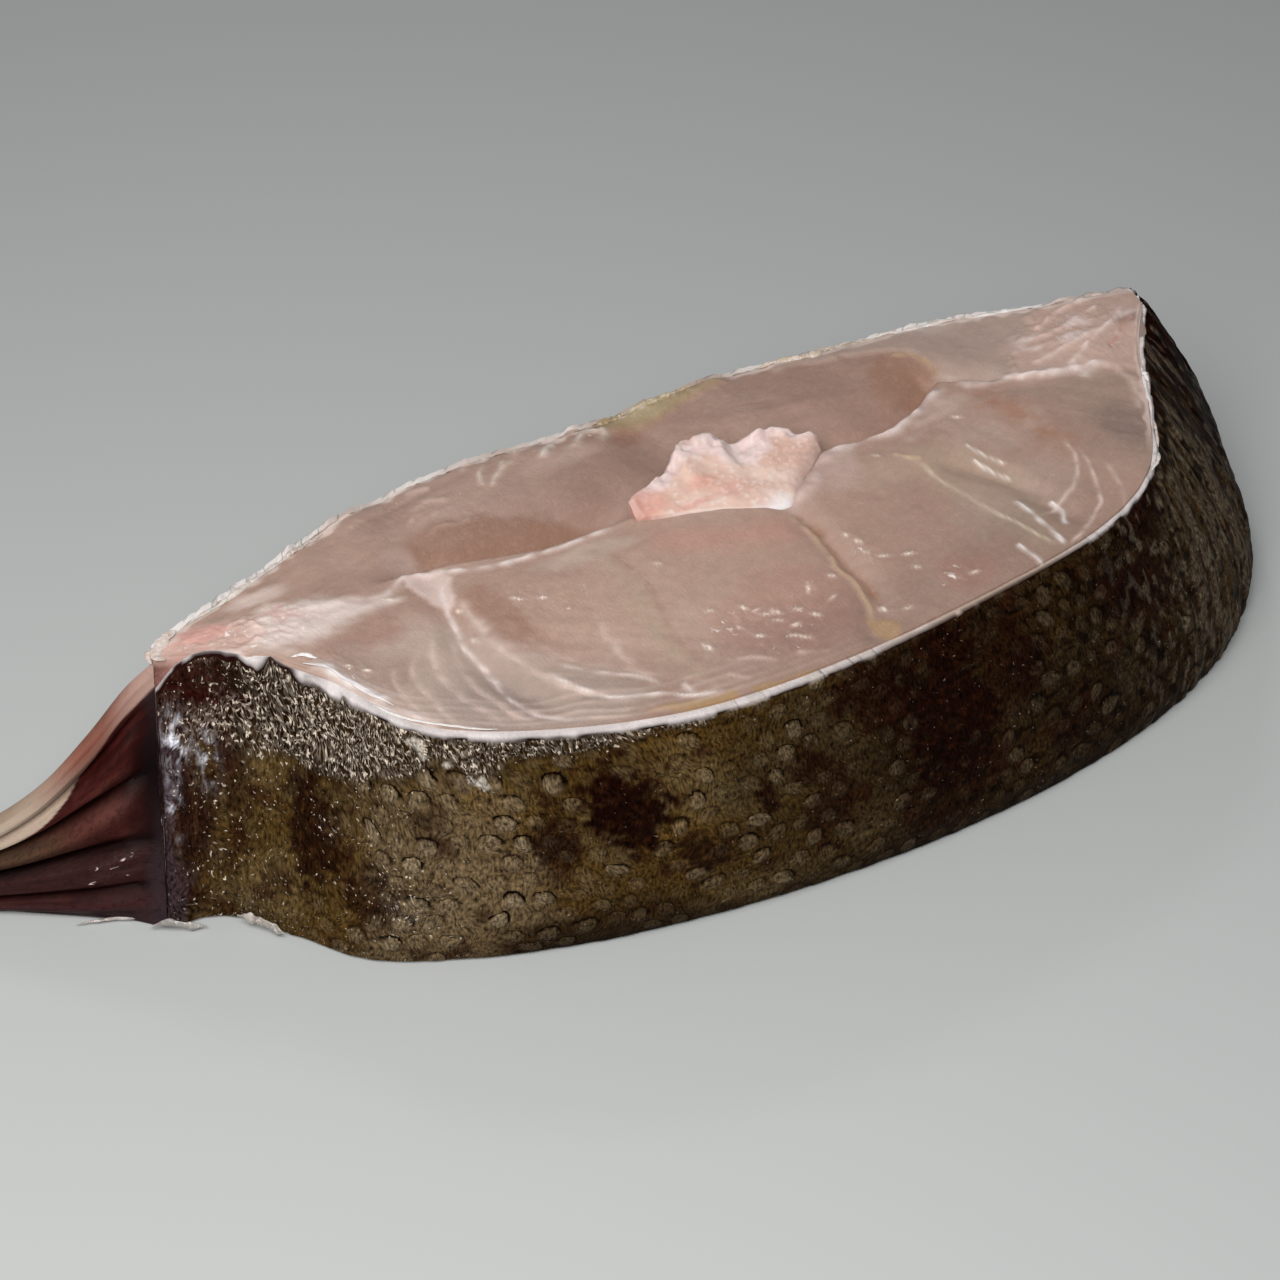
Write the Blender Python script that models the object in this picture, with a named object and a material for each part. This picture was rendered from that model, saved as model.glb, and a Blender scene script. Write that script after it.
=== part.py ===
"""Halibut steak: one thick slice cut across the fish, lying on its lower cut face, with one fin left on it.

Metres, +Z up. +X runs along the slice from the fin to the blunt end, and +Y points to the pale side of the
fish. The near side is the dark one. The origin is on the resting plane, under the middle of the whole part.
"""

import math

import bmesh
import bpy
import numpy as np
from mathutils import Vector, noise

MM = 0.001  # the sizes below are millimetres

# Driving dimensions. X is measured from the rim's fin end and Y from the line between the rim's two ends.
WALL_LEVELS = (0.0, 0.07, 0.22, 0.45, 0.7, 0.9, 1.0)  # heights of the wall's loops, as parts of the thickness
NEAR_RIM = (
    (0.0, -2.0, 50.0), (13.0, -11.0, 50.5), (22.0, -25.0, 50.5), (31.0, -43.0, 50.0), (50.0, -56.5, 50.0),
    (78.0, -66.5, 50.0), (109.0, -68.5, 50.0), (145.0, -65.5, 50.0), (175.0, -60.0, 50.0),
    (195.0, -50.0, 50.0), (209.0, -33.0, 50.0), (221.0, -15.0, 50.0), (231.5, -3.0, 50.5),
)  # edge of the upper cut along the dark side
FAR_RIM = (
    (1.5, 3.0, 50.0), (12.0, 8.5, 49.0), (35.0, 19.0, 47.0), (54.0, 27.5, 45.0), (80.0, 30.5, 45.0),
    (106.0, 29.0, 45.0), (138.0, 30.5, 45.0), (168.0, 26.5, 45.5), (196.0, 20.0, 47.5), (212.0, 12.5, 49.5),
    (225.0, 8.5, 50.5), (234.0, 6.0, 50.5),
)  # edge of the upper cut along the pale side, which has sunk in its middle
NEAR_FOOT = (
    (-10.0, -18.0, 0.0), (1.0, -23.0, 0.0), (8.5, -33.0, 0.0), (20.0, -47.5, 0.0), (44.0, -59.5, 0.0),
    (76.0, -68.5, 0.0), (110.0, -73.5, 0.0), (150.0, -74.5, 0.0), (183.0, -70.5, 0.0),
    (211.0, -61.5, 0.0), (230.0, -49.5, 0.0), (242.0, -36.5, 0.0), (248.0, -20.0, 0.0),
)  # edge of the lower cut along the dark side
FAR_FOOT = (
    (-8.0, -3.0, 0.0), (6.0, 9.0, 0.0), (32.0, 24.5, 0.0), (53.0, 33.0, 0.0), (80.0, 37.0, 0.0),
    (108.0, 38.0, 0.0), (142.0, 37.5, 0.0), (174.0, 34.5, 0.0), (205.0, 28.5, 0.0), (230.0, 21.0, 0.0),
    (242.0, 14.5, 0.0), (248.5, 7.0, 0.0),
)  # edge of the lower cut along the pale side
WALL_BULGES = ((0.0, 1.4), (40.0, 2.2), (180.0, 2.4), (232.0, 5.6))  # how far the wall swells out, along X
FOOT_TUCK = 1.0  # how far the wall draws in again where it meets the lower cut
TUCK_LEVEL = 0.12  # part of the thickness over which it draws in
END_BULGE = (3.5, 0.6)  # how far the blunt end rounds out, at the foot and at the rim
RAGGED_RIM = (0.9, 0.09)  # height of the waves along the far rim, and how many there are in a millimetre
RIM_CALM = 20.0  # distance from its two ends over which they fade

SEPTUM = (
    (0.0, 1.0), (30.0, -2.0), (56.0, -3.0), (77.0, -9.0), (98.0, -9.0), (120.0, -8.0), (142.0, -10.0),
    (156.0, -11.5), (167.0, -8.0), (178.0, -1.5), (187.0, -8.0), (201.0, -11.5), (220.0, -9.0), (234.0, 2.0),
)  # the white line between the two sides' muscles, seen from above
LINE_LIMITS = (0.2, 0.8)  # range of that line, as a part of the way across the cut
LINE_FADE = 0.08  # part of the slice's length at each end over which the rows leave it
STEP_RUN = 3.0  # width of the drop behind that line
STEP_REACH = (44.0, 58.0, 180.0, 192.0)  # where along X the drop begins, is full, starts to fade and ends
MUSCLE_CROWN = 0.8  # how far the dark side's muscle stands above its rim
CROWN_RUN = 12.0  # distance from the white line over which it rises
LOBE_CROWN = 2.2  # how far the pale side's sunken lobes swell in their middles
LOBE_FULLNESS = 0.8  # how steeply they rise at their edges, less than one being steeper
LOBE_VALLEY = (118.0, 9.0)  # place along X and half width of the notch between those lobes
HOLLOW_DEPTH = 1.6  # extra depth close behind the white line
HOLLOW_WIDTH = 4.0
SEAMS = (
    ((55.0, -5.0), (51.0, -25.0), (51.5, -38.0), (57.0, -50.0)),
    ((126.0, -22.0), (126.0, -36.0), (124.5, -52.0), (118.5, -63.0)),
    ((162.0, -28.0), (169.0, -40.0), (171.0, -52.0)),
)  # grooves between the blocks of muscle on the dark side
SEAM_DEPTH = 1.1
SEAM_WIDTH = 3.0
CORNER_LUMP = ((214.0, -4.0), (17.0, 9.0), 1.5)  # middle, half widths and height of a lump by the blunt end

BONE_NEAR = ((98.0, -10.5), (112.0, -16.0), (125.0, -22.5), (135.0, -15.5), (142.0, -9.5))
BONE_FAR = (
    (98.0, -7.5), (104.5, -4.5), (111.5, -1.0), (117.5, 2.0), (128.5, -1.0), (136.5, -3.0), (142.0, -7.0),
)
BONE_TOP = (51.5, 54.0)  # heights of the cut bone at its near and its far edge
BONE_ROUNDING = 0.6  # how early it climbs between the two, less than one being earlier
BONE_CRUMBLE = 1.6  # height of the broken grain of its face
BONE_GRAIN = 0.23  # how many of its crumbs there are in a millimetre
BONE_FOOT_TAPER = 0.94  # size of the bone's lower end against its upper end
SOCKET_SPAN = (-5.0, 70.0)  # heights between which the bone's hole is cut, past both faces of the flesh
COLLAR_RISE = 3.0  # how far the sunken flesh climbs again where it clings to the bone
COLLAR_WIDTH = 4.0

SKIN_DEPTHS = ((0.0, 1.6), (30.0, 2.8), (90.0, 2.8), (170.0, 1.6), (250.0, 1.4))  # along X, on the dark side
PALE_SKIN_DEPTH = 1.4
SKIN_CLEARANCE = 0.7  # height of the skins' lower edges above the resting plane
SKIN_LIP = ((0.0, 0.4), (10.0, 2.6), (26.0, 1.8), (36.0, 0.2))  # how far the dark skin's edge stands, along X
LIP_LEVEL = 0.85  # part of the thickness from which it does

FIN_TOP = (
    (0.0, -1.8, 49.0), (-5.5, 0.5, 43.5), (-14.0, 1.5, 35.0), (-23.5, 2.5, 27.0), (-33.0, 5.5, 20.5),
    (-43.0, 11.5, 14.0), (-53.0, 18.0, 9.0),
)  # upper edge of the fin, falling away from the slice
FIN_FOOT = (
    (-10.0, -17.8, 0.3), (-20.0, -10.0, 0.3), (-30.0, -2.0, 0.3), (-40.0, 5.5, 0.3), (-49.0, 12.5, 0.3),
    (-58.0, 19.0, 0.3),
)  # lower edge, along the resting plane
FIN_SIDEWAYS = (0.51, 0.86)  # direction in plan across the fin, from its near face to its far face
FIN_WIDTHS = (5.0, 1.8)  # thickness at the root and at the tip
FIN_FOLDS = ((0.0, 0.0), (0.17, 0.13), (0.33, 0.46), (0.60, 0.64), (0.86, 0.70), (1.0, 1.0))
# the folds between the rays, as parts of the fin's height at its root and at its tip
RAY_LENGTHS = (0.93, 1.0, 0.9, 0.82, 1.0)  # reach of the ray between each two folds, from the foot up
FOLD_LENGTH = 0.86  # reach of the skin in the folds, as a part of the rays'
RAY_RISES = (1.4, 2.0, 2.2, 1.8, 2.6)  # height of each ray over its folds
RAY_FULLNESS = 0.8  # how steeply the rays rise from the folds
ROOT_BLEND = 0.25  # part of the fin's length over which it leaves the body's own shape

TOUCH_GAP = 0.3  # clearance between neighbouring pieces

COLUMNS = 68  # steps along the slice
NEAR_ROWS = 8  # steps across it, from the near rim to the white line
FAR_ROWS = 6  # steps from the white line to the far rim
ROWS = NEAR_ROWS + FAR_ROWS
FIN_COLUMNS = 14  # steps along the fin
RAY_ROWS = 6  # steps across each of its rays
BONE_STEPS = (12, 8, 5)  # steps along, across and up the backbone
FINE = 40  # samples for each stretch of a smooth curve
TRACE = 12  # points along a line that distances are taken from
LEVEL_LIMIT = 1e-6  # metres off the resting plane that still count as on it

# Colour, roughness and metallic value of each sub-part.
FINISHES = {
    "flesh": ((0.42, 0.27, 0.22, 1.0), 0.3, 0.0),
    "backbone": ((0.62, 0.36, 0.31, 1.0), 0.4, 0.0),
    "dark_skin": ((0.045, 0.032, 0.016, 1.0), 0.35, 0.0),
    "pale_skin": ((0.6, 0.54, 0.47, 1.0), 0.35, 0.0),
    "fin": ((0.07, 0.016, 0.016, 1.0), 0.3, 0.0),
}


def clear_scene():
    for obj in list(bpy.data.objects):
        bpy.data.objects.remove(obj, do_unlink=True)


def smooth_step(value):
    value = np.clip(value, 0.0, 1.0)
    return value * value * (3.0 - 2.0 * value)


def smooth_curve(points, count):
    """Give `count` points, evenly spaced along a smooth curve through the given ones."""
    points = np.array(points, float)
    knots = np.vstack([2 * points[0] - points[1], points, 2 * points[-1] - points[-2]])
    place = np.linspace(0.0, len(points) - 1.0, FINE * (len(points) - 1) + 1)
    first = np.minimum(place.astype(int), len(points) - 2)
    part = (place - first)[:, None]
    a, b, c, d = (knots[first + step] for step in range(4))
    square = (2 * a - 5 * b + 4 * c - d) * part**2
    cube = (3 * b - a - 3 * c + d) * part**3
    fine = 0.5 * (2 * b + (c - a) * part + square + cube)
    lengths = np.linalg.norm(np.diff(fine, axis=0), axis=1)
    run = np.concatenate([[0.0], np.cumsum(lengths)])
    wanted = np.linspace(0.0, run[-1], count)
    return np.stack([np.interp(wanted, run, fine[:, axis]) for axis in range(fine.shape[1])], axis=1)


def distance_to_path(spots, path):
    """Give the distance in plan from each spot to a path of short straight stretches."""
    nearest = np.full(len(spots), np.inf)
    for start, end in zip(path[:-1], path[1:]):
        along = end - start
        part = np.clip((spots - start) @ along / (along @ along), 0.0, 1.0)
        nearest = np.minimum(nearest, np.linalg.norm(spots - start - part[:, None] * along, axis=1))
    return nearest


def evened(edge, count):
    """Give `count` points evenly spaced along an edge."""
    lengths = np.linalg.norm(np.diff(edge[:, :2], axis=0), axis=1)
    run = np.concatenate([[0.0], np.cumsum(lengths)])
    wanted = np.linspace(0.0, run[-1], count)
    return np.stack([np.interp(wanted, run, edge[:, axis]) for axis in range(3)], axis=1)


def crossing(spot, way, other_spot, other_way):
    """Point in plan where two lines cross, at the height of the first spot."""
    turn = way[0] * other_way[1] - way[1] * other_way[0]
    apart = other_spot - spot
    part = (apart[0] * other_way[1] - apart[1] * other_way[0]) / turn
    return np.array([spot[0] + part * way[0], spot[1] + part * way[1], spot[2]])


def inset(edges, depths):
    """Move the four edges of a loop inwards in plan, each by its own depths, and join them at new corners."""
    moved, ways = [], []
    for edge, depth in zip(edges, depths):
        way = np.gradient(edge[:, :2], axis=0)
        way /= np.linalg.norm(way, axis=1)[:, None]
        shifted = edge.copy()
        shifted[:, :2] += np.stack([-way[:, 1], way[:, 0]], axis=1) * np.reshape(depth, (-1, 1))
        moved.append(shifted)
        ways.append(way)
    corners = [
        crossing(moved[one - 1][-1], ways[one - 1][-1], moved[one][0], ways[one][0]) for one in range(4)
    ]
    joined = []
    for one in range(4):
        start, end = corners[one], corners[(one + 1) % 4]
        inner = moved[one][1:-1]
        after_start = (inner[:, :2] - start[:2]) @ ways[one][0] > 0.0
        before_end = (inner[:, :2] - end[:2]) @ ways[one][-1] < 0.0
        kept = inner[after_start & before_end]
        joined.append(evened(np.vstack([start, kept, end]), len(edges[one])))
    return joined


def wall_edges(level):
    """Outer edges of the skin at one height: near side, blunt end, far side, fin end."""
    foot_near, rim_near, foot_far, rim_far = (
        smooth_curve(edge, COLUMNS + 1) for edge in (NEAR_FOOT, NEAR_RIM, FAR_FOOT, FAR_RIM)
    )
    wave, pace = RAGGED_RIM
    x = rim_far[:, 0]
    calm = smooth_step(np.minimum(x - x[0], x[-1] - x) / RIM_CALM)
    rim_far[:, 2] += wave * calm * [noise.noise(Vector((place * pace, 3.0, 0.0))) for place in x]
    near = foot_near + (rim_near - foot_near) * level
    far = foot_far + (rim_far - foot_far) * level
    across = np.linspace(0.0, 1.0, ROWS + 1)[:, None]
    blunt_end = near[-1] + (far[-1] - near[-1]) * across
    end_bulge = END_BULGE[0] + (END_BULGE[1] - END_BULGE[0]) * level
    blunt_end[:, 0] += end_bulge * 4.0 * (across * (1.0 - across))[:, 0]
    fin_end = far[0] + (near[0] - far[0]) * across
    edges = (near, blunt_end, far[::-1], fin_end)
    places, bulges = zip(*WALL_BULGES)
    swell = 4.0 * level * (1.0 - level)
    tuck = FOOT_TUCK * max(0.0, 1.0 - level / TUCK_LEVEL)
    depths = [tuck - swell * np.interp(edge[:, 0], places, bulges) for edge in edges[:3]]
    return inset(edges, (*depths, 0.0))


def flesh_edges(level, clearance=TOUCH_GAP):
    """Edges of what lies behind the skin, which is bare at the fin end."""
    edges = wall_edges(level)
    places, depths = zip(*SKIN_DEPTHS)
    dark = [np.interp(edge[:, 0], places, depths) + clearance for edge in edges[:2]]
    return inset(edges, (*dark, PALE_SKIN_DEPTH + clearance, 0.0))


def filled(near, blunt_end, far, fin_end, shares):
    """Places of a grid between four edges. `shares` says for each column how far each row lies across it."""
    far, fin_end = far[::-1], fin_end[::-1]
    along = np.linspace(0.0, 1.0, len(near))[:, None, None]
    even = np.linspace(0.0, 1.0, len(fin_end))[:, None]
    shares = shares[:, :, None]
    ruled = near[:, None] * (1.0 - shares) + far[:, None] * shares
    ends = fin_end * (1.0 - along) + blunt_end * along
    straight = ends[:, :1] * (1.0 - even) + ends[:, -1:] * even
    return ruled + ends - straight


def block_of(columns, rows, levels):
    """A closed block of unit size, its corner at zero, cut into the given numbers of steps."""
    block = bmesh.new()
    bmesh.ops.create_grid(block, x_segments=columns, y_segments=rows, size=0.5)
    bmesh.ops.translate(block, verts=block.verts, vec=(0.5, 0.5, 0.0))
    top = list(block.faces)
    for level in range(levels):
        grown = bmesh.ops.extrude_face_region(block, geom=top)["geom"]
        if level:
            bmesh.ops.delete(block, geom=top, context="FACES")
        risen = [item for item in grown if isinstance(item, bmesh.types.BMVert)]
        bmesh.ops.translate(block, verts=risen, vec=(0.0, 0.0, 1.0 / levels))
        top = [item for item in grown if isinstance(item, bmesh.types.BMFace)]
    bmesh.ops.recalc_face_normals(block, faces=block.faces)
    return block


def block_from(places):
    """A closed block whose points lie at a grid of places in millimetres."""
    steps = [count - 1 for count in places.shape[:3]]
    block = block_of(*steps)
    for vert in block.verts:
        column, row, level = (round(value * step) for value, step in zip(vert.co, steps))
        vert.co = Vector(places[column, row, level]) * MM
    if block.calc_volume(signed=True) < 0.0:
        bmesh.ops.reverse_faces(block, faces=block.faces)
    return block


def material_for(name):
    colour, roughness, metallic = FINISHES[name]
    material = bpy.data.materials.new(name)
    material.use_nodes = True
    shader = material.node_tree.nodes["Principled BSDF"]
    shader.inputs["Base Color"].default_value = colour
    shader.inputs["Roughness"].default_value = roughness
    shader.inputs["Metallic"].default_value = metallic
    return material


def finish_object(name, block, smooth_angle=40.0):
    mesh = bpy.data.meshes.new(name)
    block.to_mesh(mesh)
    block.free()
    mesh.shade_smooth()
    mesh.set_sharp_from_angle(angle=math.radians(smooth_angle))
    obj = bpy.data.objects.new(name, mesh)
    bpy.context.scene.collection.objects.link(obj)
    return obj


def dress(obj):
    obj.data.materials.append(material_for(obj.name))


def slice_places():
    """Places of the flesh's grid: its wall loops, and rows across the cut that follow the white line."""
    even = np.linspace(0.0, 1.0, ROWS + 1)
    usual = NEAR_ROWS / ROWS
    layers = []
    for level in WALL_LEVELS:
        edges = flesh_edges(level)
        near, far = edges[0], edges[2][::-1]
        middle = np.interp(0.5 * (near[:, 0] + far[:, 0]), *zip(*SEPTUM))
        line = (middle - near[:, 1]) / (far[:, 1] - near[:, 1])
        along = np.linspace(0.0, 1.0, COLUMNS + 1)
        fade = smooth_step(np.minimum(along, 1.0 - along) / LINE_FADE)
        line = usual + (np.clip(line, *LINE_LIMITS) - usual) * fade
        shares = np.array([np.interp(even, (0.0, usual, 1.0), (0.0, share, 1.0)) for share in line])
        layers.append(filled(*edges, shares))
    return np.stack(layers, axis=2)


def bump(values, middle, reach):
    return np.exp(-(((values - middle) / reach) ** 2))


def cut_height(spots, near_height, far_height, behind):
    """Heights along one column of the upper cut. `behind` is the distance behind the white line."""
    x, y = spots.T
    start, full, fading, end = STEP_REACH
    reach = smooth_step((x - start) / (full - start)) * smooth_step((end - x) / (end - fading))
    part = np.clip(behind / behind[-1], 0.0, 1.0)
    drop = smooth_step(behind / STEP_RUN)
    lobes = LOBE_CROWN * (1.0 - bump(x, *LOBE_VALLEY)) * np.sin(math.pi * part) ** LOBE_FULLNESS
    hollow = HOLLOW_DEPTH * bump(behind, STEP_RUN, HOLLOW_WIDTH)
    stepped = near_height * (1.0 - drop) + (far_height + lobes - hollow) * drop
    sloping = near_height + (far_height - near_height) * part
    height = stepped * reach + sloping * (1.0 - reach)
    height += MUSCLE_CROWN * smooth_step(-behind / CROWN_RUN)
    cling = distance_to_path(spots, smooth_curve(BONE_FAR, TRACE))
    height += COLLAR_RISE * drop * bump(cling, 0.0, COLLAR_WIDTH)
    (lump_x, lump_y), (half_x, half_y), rise = CORNER_LUMP
    height += rise * bump(x, lump_x, half_x) * bump(y, lump_y, half_y)
    for seam in SEAMS:
        off = distance_to_path(spots, smooth_curve(seam, TRACE))
        height -= SEAM_DEPTH * bump(off, 0.0, SEAM_WIDTH)
    return height


def raise_cut(places):
    """Give the top layer of the slice's grid the relief of the cut."""
    for row in places[1:-1, :, -1]:
        away = np.linalg.norm(row[:, :2] - row[NEAR_ROWS, :2], axis=1)
        behind = np.where(np.arange(ROWS + 1) >= NEAR_ROWS, away, -away)
        row[1:-1, 2] = cut_height(row[:, :2], row[0, 2], row[-1, 2], behind)[1:-1]


def make_flesh():
    places = slice_places()
    raise_cut(places)
    block = block_from(places)
    underside = [face for face in block.faces if all(abs(vert.co.z) < LEVEL_LIMIT for vert in face.verts)]
    bmesh.ops.dissolve_faces(block, faces=underside, use_verts=False)
    flesh = finish_object("flesh", block)
    socket = finish_object("backbone_socket", bone_block(TOUCH_GAP, SOCKET_SPAN))
    socket.hide_render = True
    socket.display_type = "WIRE"
    cut = flesh.modifiers.new("backbone hole", "BOOLEAN")
    cut.operation = "DIFFERENCE"
    cut.solver = "EXACT"
    cut.object = socket
    dress(flesh)
    return [flesh, socket]


def bone_block(growth=0.0, span=None):
    """The backbone, or with a growth and a span of heights the hole that it sits in."""
    columns, rows, levels = BONE_STEPS
    near = smooth_curve(BONE_NEAR, columns + 1)
    far = smooth_curve(BONE_FAR, columns + 1)[::-1]
    edges = (near, np.linspace(near[-1], far[0], rows + 1), far, np.linspace(far[-1], near[0], rows + 1))
    edges = inset([np.pad(edge, ((0, 0), (0, 1))) for edge in edges], (-growth,) * 4)
    even = np.tile(np.linspace(0.0, 1.0, rows + 1), (columns + 1, 1))
    face = filled(*edges, even)
    centre = face[:, :, :2].mean(axis=(0, 1))
    crumbs = [[noise.noise(Vector((x * BONE_GRAIN, y * BONE_GRAIN, 0.0))) for x, y, _ in row] for row in face]
    low, high = span or (0.0, BONE_TOP[0] + (BONE_TOP[1] - BONE_TOP[0]) * even**BONE_ROUNDING)
    if not span:
        high += BONE_CRUMBLE * np.array(crumbs)
    places = np.repeat(face[:, :, None], levels + 1, axis=2)
    for level in range(levels + 1):
        height = low + (high - low) * level / levels * np.ones_like(even)
        size = 1.0 + (BONE_FOOT_TAPER - 1.0) * (1.0 - height / BONE_TOP[0])
        places[:, :, level, :2] = centre + (face[:, :, :2] - centre) * size[:, :, None]
        places[:, :, level, 2] = height
    return block_from(places)


def make_backbone():
    backbone = finish_object("backbone", bone_block())
    dress(backbone)
    return [backbone]


def make_skin(name, sides, lip):
    """A skin along some edges of the wall, as deep as the flesh is set back from the wall."""
    layers = []
    for level in WALL_LEVELS:
        faces = []
        for edges in (wall_edges(level), flesh_edges(level, 0.0)):
            strip = np.vstack([edges[side][int(side > sides[0]):] for side in sides])
            for end, beside in ((0, 1), (-1, -2)):
                away = strip[beside] - strip[end]
                strip[end] += away * TOUCH_GAP / np.linalg.norm(away[:2])
            risen = smooth_step((level - LIP_LEVEL) / (1.0 - LIP_LEVEL))
            strip[:, 2] += np.interp(strip[:, 0], *zip(*lip)) * risen
            strip[:, 2] = np.maximum(strip[:, 2], SKIN_CLEARANCE)
            faces.append(strip)
        layers.append(np.stack(faces, axis=1))
    skin = finish_object(name, block_from(np.stack(layers, axis=2)))
    dress(skin)
    return [skin]


def fin_row(ray, part):
    """One line of the fin's near face from root to tip, `part` of the way across one of its rays."""
    along = np.linspace(0.0, 1.0, FIN_COLUMNS + 1)
    fold = math.sin(math.pi * part) ** RAY_FULLNESS
    reach = RAY_LENGTHS[min(ray, len(RAY_LENGTHS) - 1)] * fold + FOLD_LENGTH * (1.0 - fold)
    reach = along * (1.0 + (reach - 1.0) * along)
    low, high = (
        np.stack([np.interp(reach, along, edge[:, axis]) for axis in range(3)], axis=1)
        for edge in (smooth_curve(FIN_FOOT, len(along)), smooth_curve(FIN_TOP, len(along)))
    )
    at_fold = [root + (tip - root) * reach for root, tip in FIN_FOLDS]
    across = at_fold[ray] if part == 0.0 else at_fold[ray] * (1.0 - part) + at_fold[ray + 1] * part
    line = low + (high - low) * across[:, None]
    rise = RAY_RISES[min(ray, len(RAY_RISES) - 1)] * fold * smooth_step(along / ROOT_BLEND)
    line[:, :2] -= rise[:, None] * np.array(FIN_SIDEWAYS)
    line[:, 0] -= TOUCH_GAP
    return line


def make_fin():
    rays = len(RAY_LENGTHS)
    rows = [fin_row(ray, step / RAY_ROWS) for ray in range(rays) for step in range(RAY_ROWS)]
    near_face = np.stack(rows + [fin_row(rays, 0.0)], axis=1)
    along = np.linspace(0.0, 1.0, FIN_COLUMNS + 1)[:, None]
    root_way = np.subtract(FAR_FOOT[0][:2], NEAR_FOOT[0][:2])
    root_way /= np.linalg.norm(root_way)
    way = root_way + (np.array(FIN_SIDEWAYS) - root_way) * smooth_step(along / ROOT_BLEND)
    width = FIN_WIDTHS[0] + (FIN_WIDTHS[1] - FIN_WIDTHS[0]) * smooth_step(along)
    far_face = near_face.copy()
    far_face[:, :, :2] += (way * width)[:, None]
    fin = finish_object("fin", block_from(np.stack([near_face, far_face], axis=1)))
    dress(fin)
    return [fin]


def centre_on_origin(pieces):
    """Stand the part on the resting plane with its middle over the origin."""
    shapes = [piece for piece in pieces if not piece.hide_render]
    corners = np.array([tuple(vert.co) for piece in shapes for vert in piece.data.vertices])
    low, high = corners.min(axis=0), corners.max(axis=0)
    holder = bpy.data.objects.new("steak", None)
    bpy.context.scene.collection.objects.link(holder)
    holder.location = (-0.5 * (low[0] + high[0]), -0.5 * (low[1] + high[1]), -low[2])
    for piece in pieces:
        piece.parent = holder


def main():
    clear_scene()
    near_side, blunt_end, far_side = range(3)
    pieces = make_flesh() + make_backbone()
    pieces += make_skin("dark_skin", (near_side, blunt_end), SKIN_LIP)
    pieces += make_skin("pale_skin", (far_side,), SKIN_LIP[-1:])
    pieces += make_fin()
    centre_on_origin(pieces)


main()
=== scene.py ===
"""Looks of a raw halibut steak: wet flesh, broken backbone, scaled dark skin, pale skin and a folded fin."""

import math
from functools import partial
from types import SimpleNamespace

import bmesh
import bpy
import numpy as np
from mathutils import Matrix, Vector, noise


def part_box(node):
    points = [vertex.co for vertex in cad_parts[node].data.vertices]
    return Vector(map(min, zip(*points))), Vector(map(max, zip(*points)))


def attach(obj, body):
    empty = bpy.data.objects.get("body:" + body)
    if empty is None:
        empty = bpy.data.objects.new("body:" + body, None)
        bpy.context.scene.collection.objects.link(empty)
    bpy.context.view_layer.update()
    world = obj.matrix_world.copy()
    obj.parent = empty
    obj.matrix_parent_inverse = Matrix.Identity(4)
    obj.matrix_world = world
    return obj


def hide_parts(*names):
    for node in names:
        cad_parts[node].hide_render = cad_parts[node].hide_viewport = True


MM = 0.001  # the sizes below are millimetres

# Shape of the slice. X is measured from the rim's fin end and Y from the line between the rim's two ends.
NEAR_RIM = (
    (0, -2, 50), (13, -11, 50.5), (22, -25, 50.5), (31, -43, 50), (50, -56.5, 50), (78, -66.5, 50),
    (109, -68.5, 50), (145, -65.5, 50), (175, -60, 50), (195, -50, 50), (209, -33, 50), (221, -15, 50),
    (231.5, -3, 50.5),
)  # edge of the upper cut along the dark side
FAR_RIM = (
    (1.5, 3, 50), (12, 8.5, 49), (35, 19, 47), (54, 27.5, 45), (80, 30.5, 45), (106, 29, 45),
    (138, 30.5, 45), (168, 26.5, 45.5), (196, 20, 47.5), (212, 12.5, 49.5), (225, 8.5, 50.5),
    (234, 6, 50.5),
)  # edge of the upper cut along the pale side
NEAR_FOOT = (
    (-10, -18, 0), (1, -23, 0), (8.5, -33, 0), (20, -47.5, 0), (44, -59.5, 0), (76, -68.5, 0),
    (110, -73.5, 0), (150, -74.5, 0), (183, -70.5, 0), (211, -61.5, 0), (230, -49.5, 0), (242, -36.5, 0),
    (248, -20, 0),
)  # edge of the lower cut along the dark side
FAR_FOOT = (
    (-8, -3, 0), (6, 9, 0), (32, 24.5, 0), (53, 33, 0), (80, 37, 0), (108, 38, 0), (142, 37.5, 0),
    (174, 34.5, 0), (205, 28.5, 0), (230, 21, 0), (242, 14.5, 0), (248.5, 7, 0),
)  # edge of the lower cut along the pale side
THICKNESS = 50.0
WALL_BULGES = ((0, 1.4), (40, 2.2), (180, 2.4), (232, 5.6))  # how far the wall swells out, along X
FOOT_TUCK = 1.0  # how far the wall draws in at the foot, up to TUCK_LEVEL of the height
TUCK_LEVEL = 0.12
END_BULGE = (3.5, 0.6)  # of the blunt end, at the foot and at the rim
RAGGED_RIM = (0.9, 0.09)  # height and pace of the far rim's waves, calm for RIM_CALM at both ends
RIM_CALM = 20.0

SEPTUM = (
    (0, 1), (30, -2), (56, -3), (77, -9), (98, -9), (120, -8), (142, -10), (156, -11.5), (167, -8),
    (178, -1.5), (187, -8), (201, -11.5), (220, -9), (234, 2),
)  # the white line between the two sides' muscles
LINE_LIMITS = (0.2, 0.8)  # the least and greatest part of the way across at which the line runs
LINE_FADE = 0.08  # part of the length at each end over which it joins the even spacing
STEP_RUN = 3.0  # behind the line the cut steps down over this distance
STEP_REACH = (44.0, 58.0, 180.0, 192.0)  # along X: the step starts, is whole, starts to fade, ends
MUSCLE_CROWN = 0.8  # swelling in front of the line, over CROWN_RUN
CROWN_RUN = 12.0
LOBE_CROWN = 2.2  # swelling behind the line
LOBE_FULLNESS = 0.8
LOBE_VALLEY = (118.0, 9.0)  # middle and half width of the valley between the lobes behind it
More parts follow.
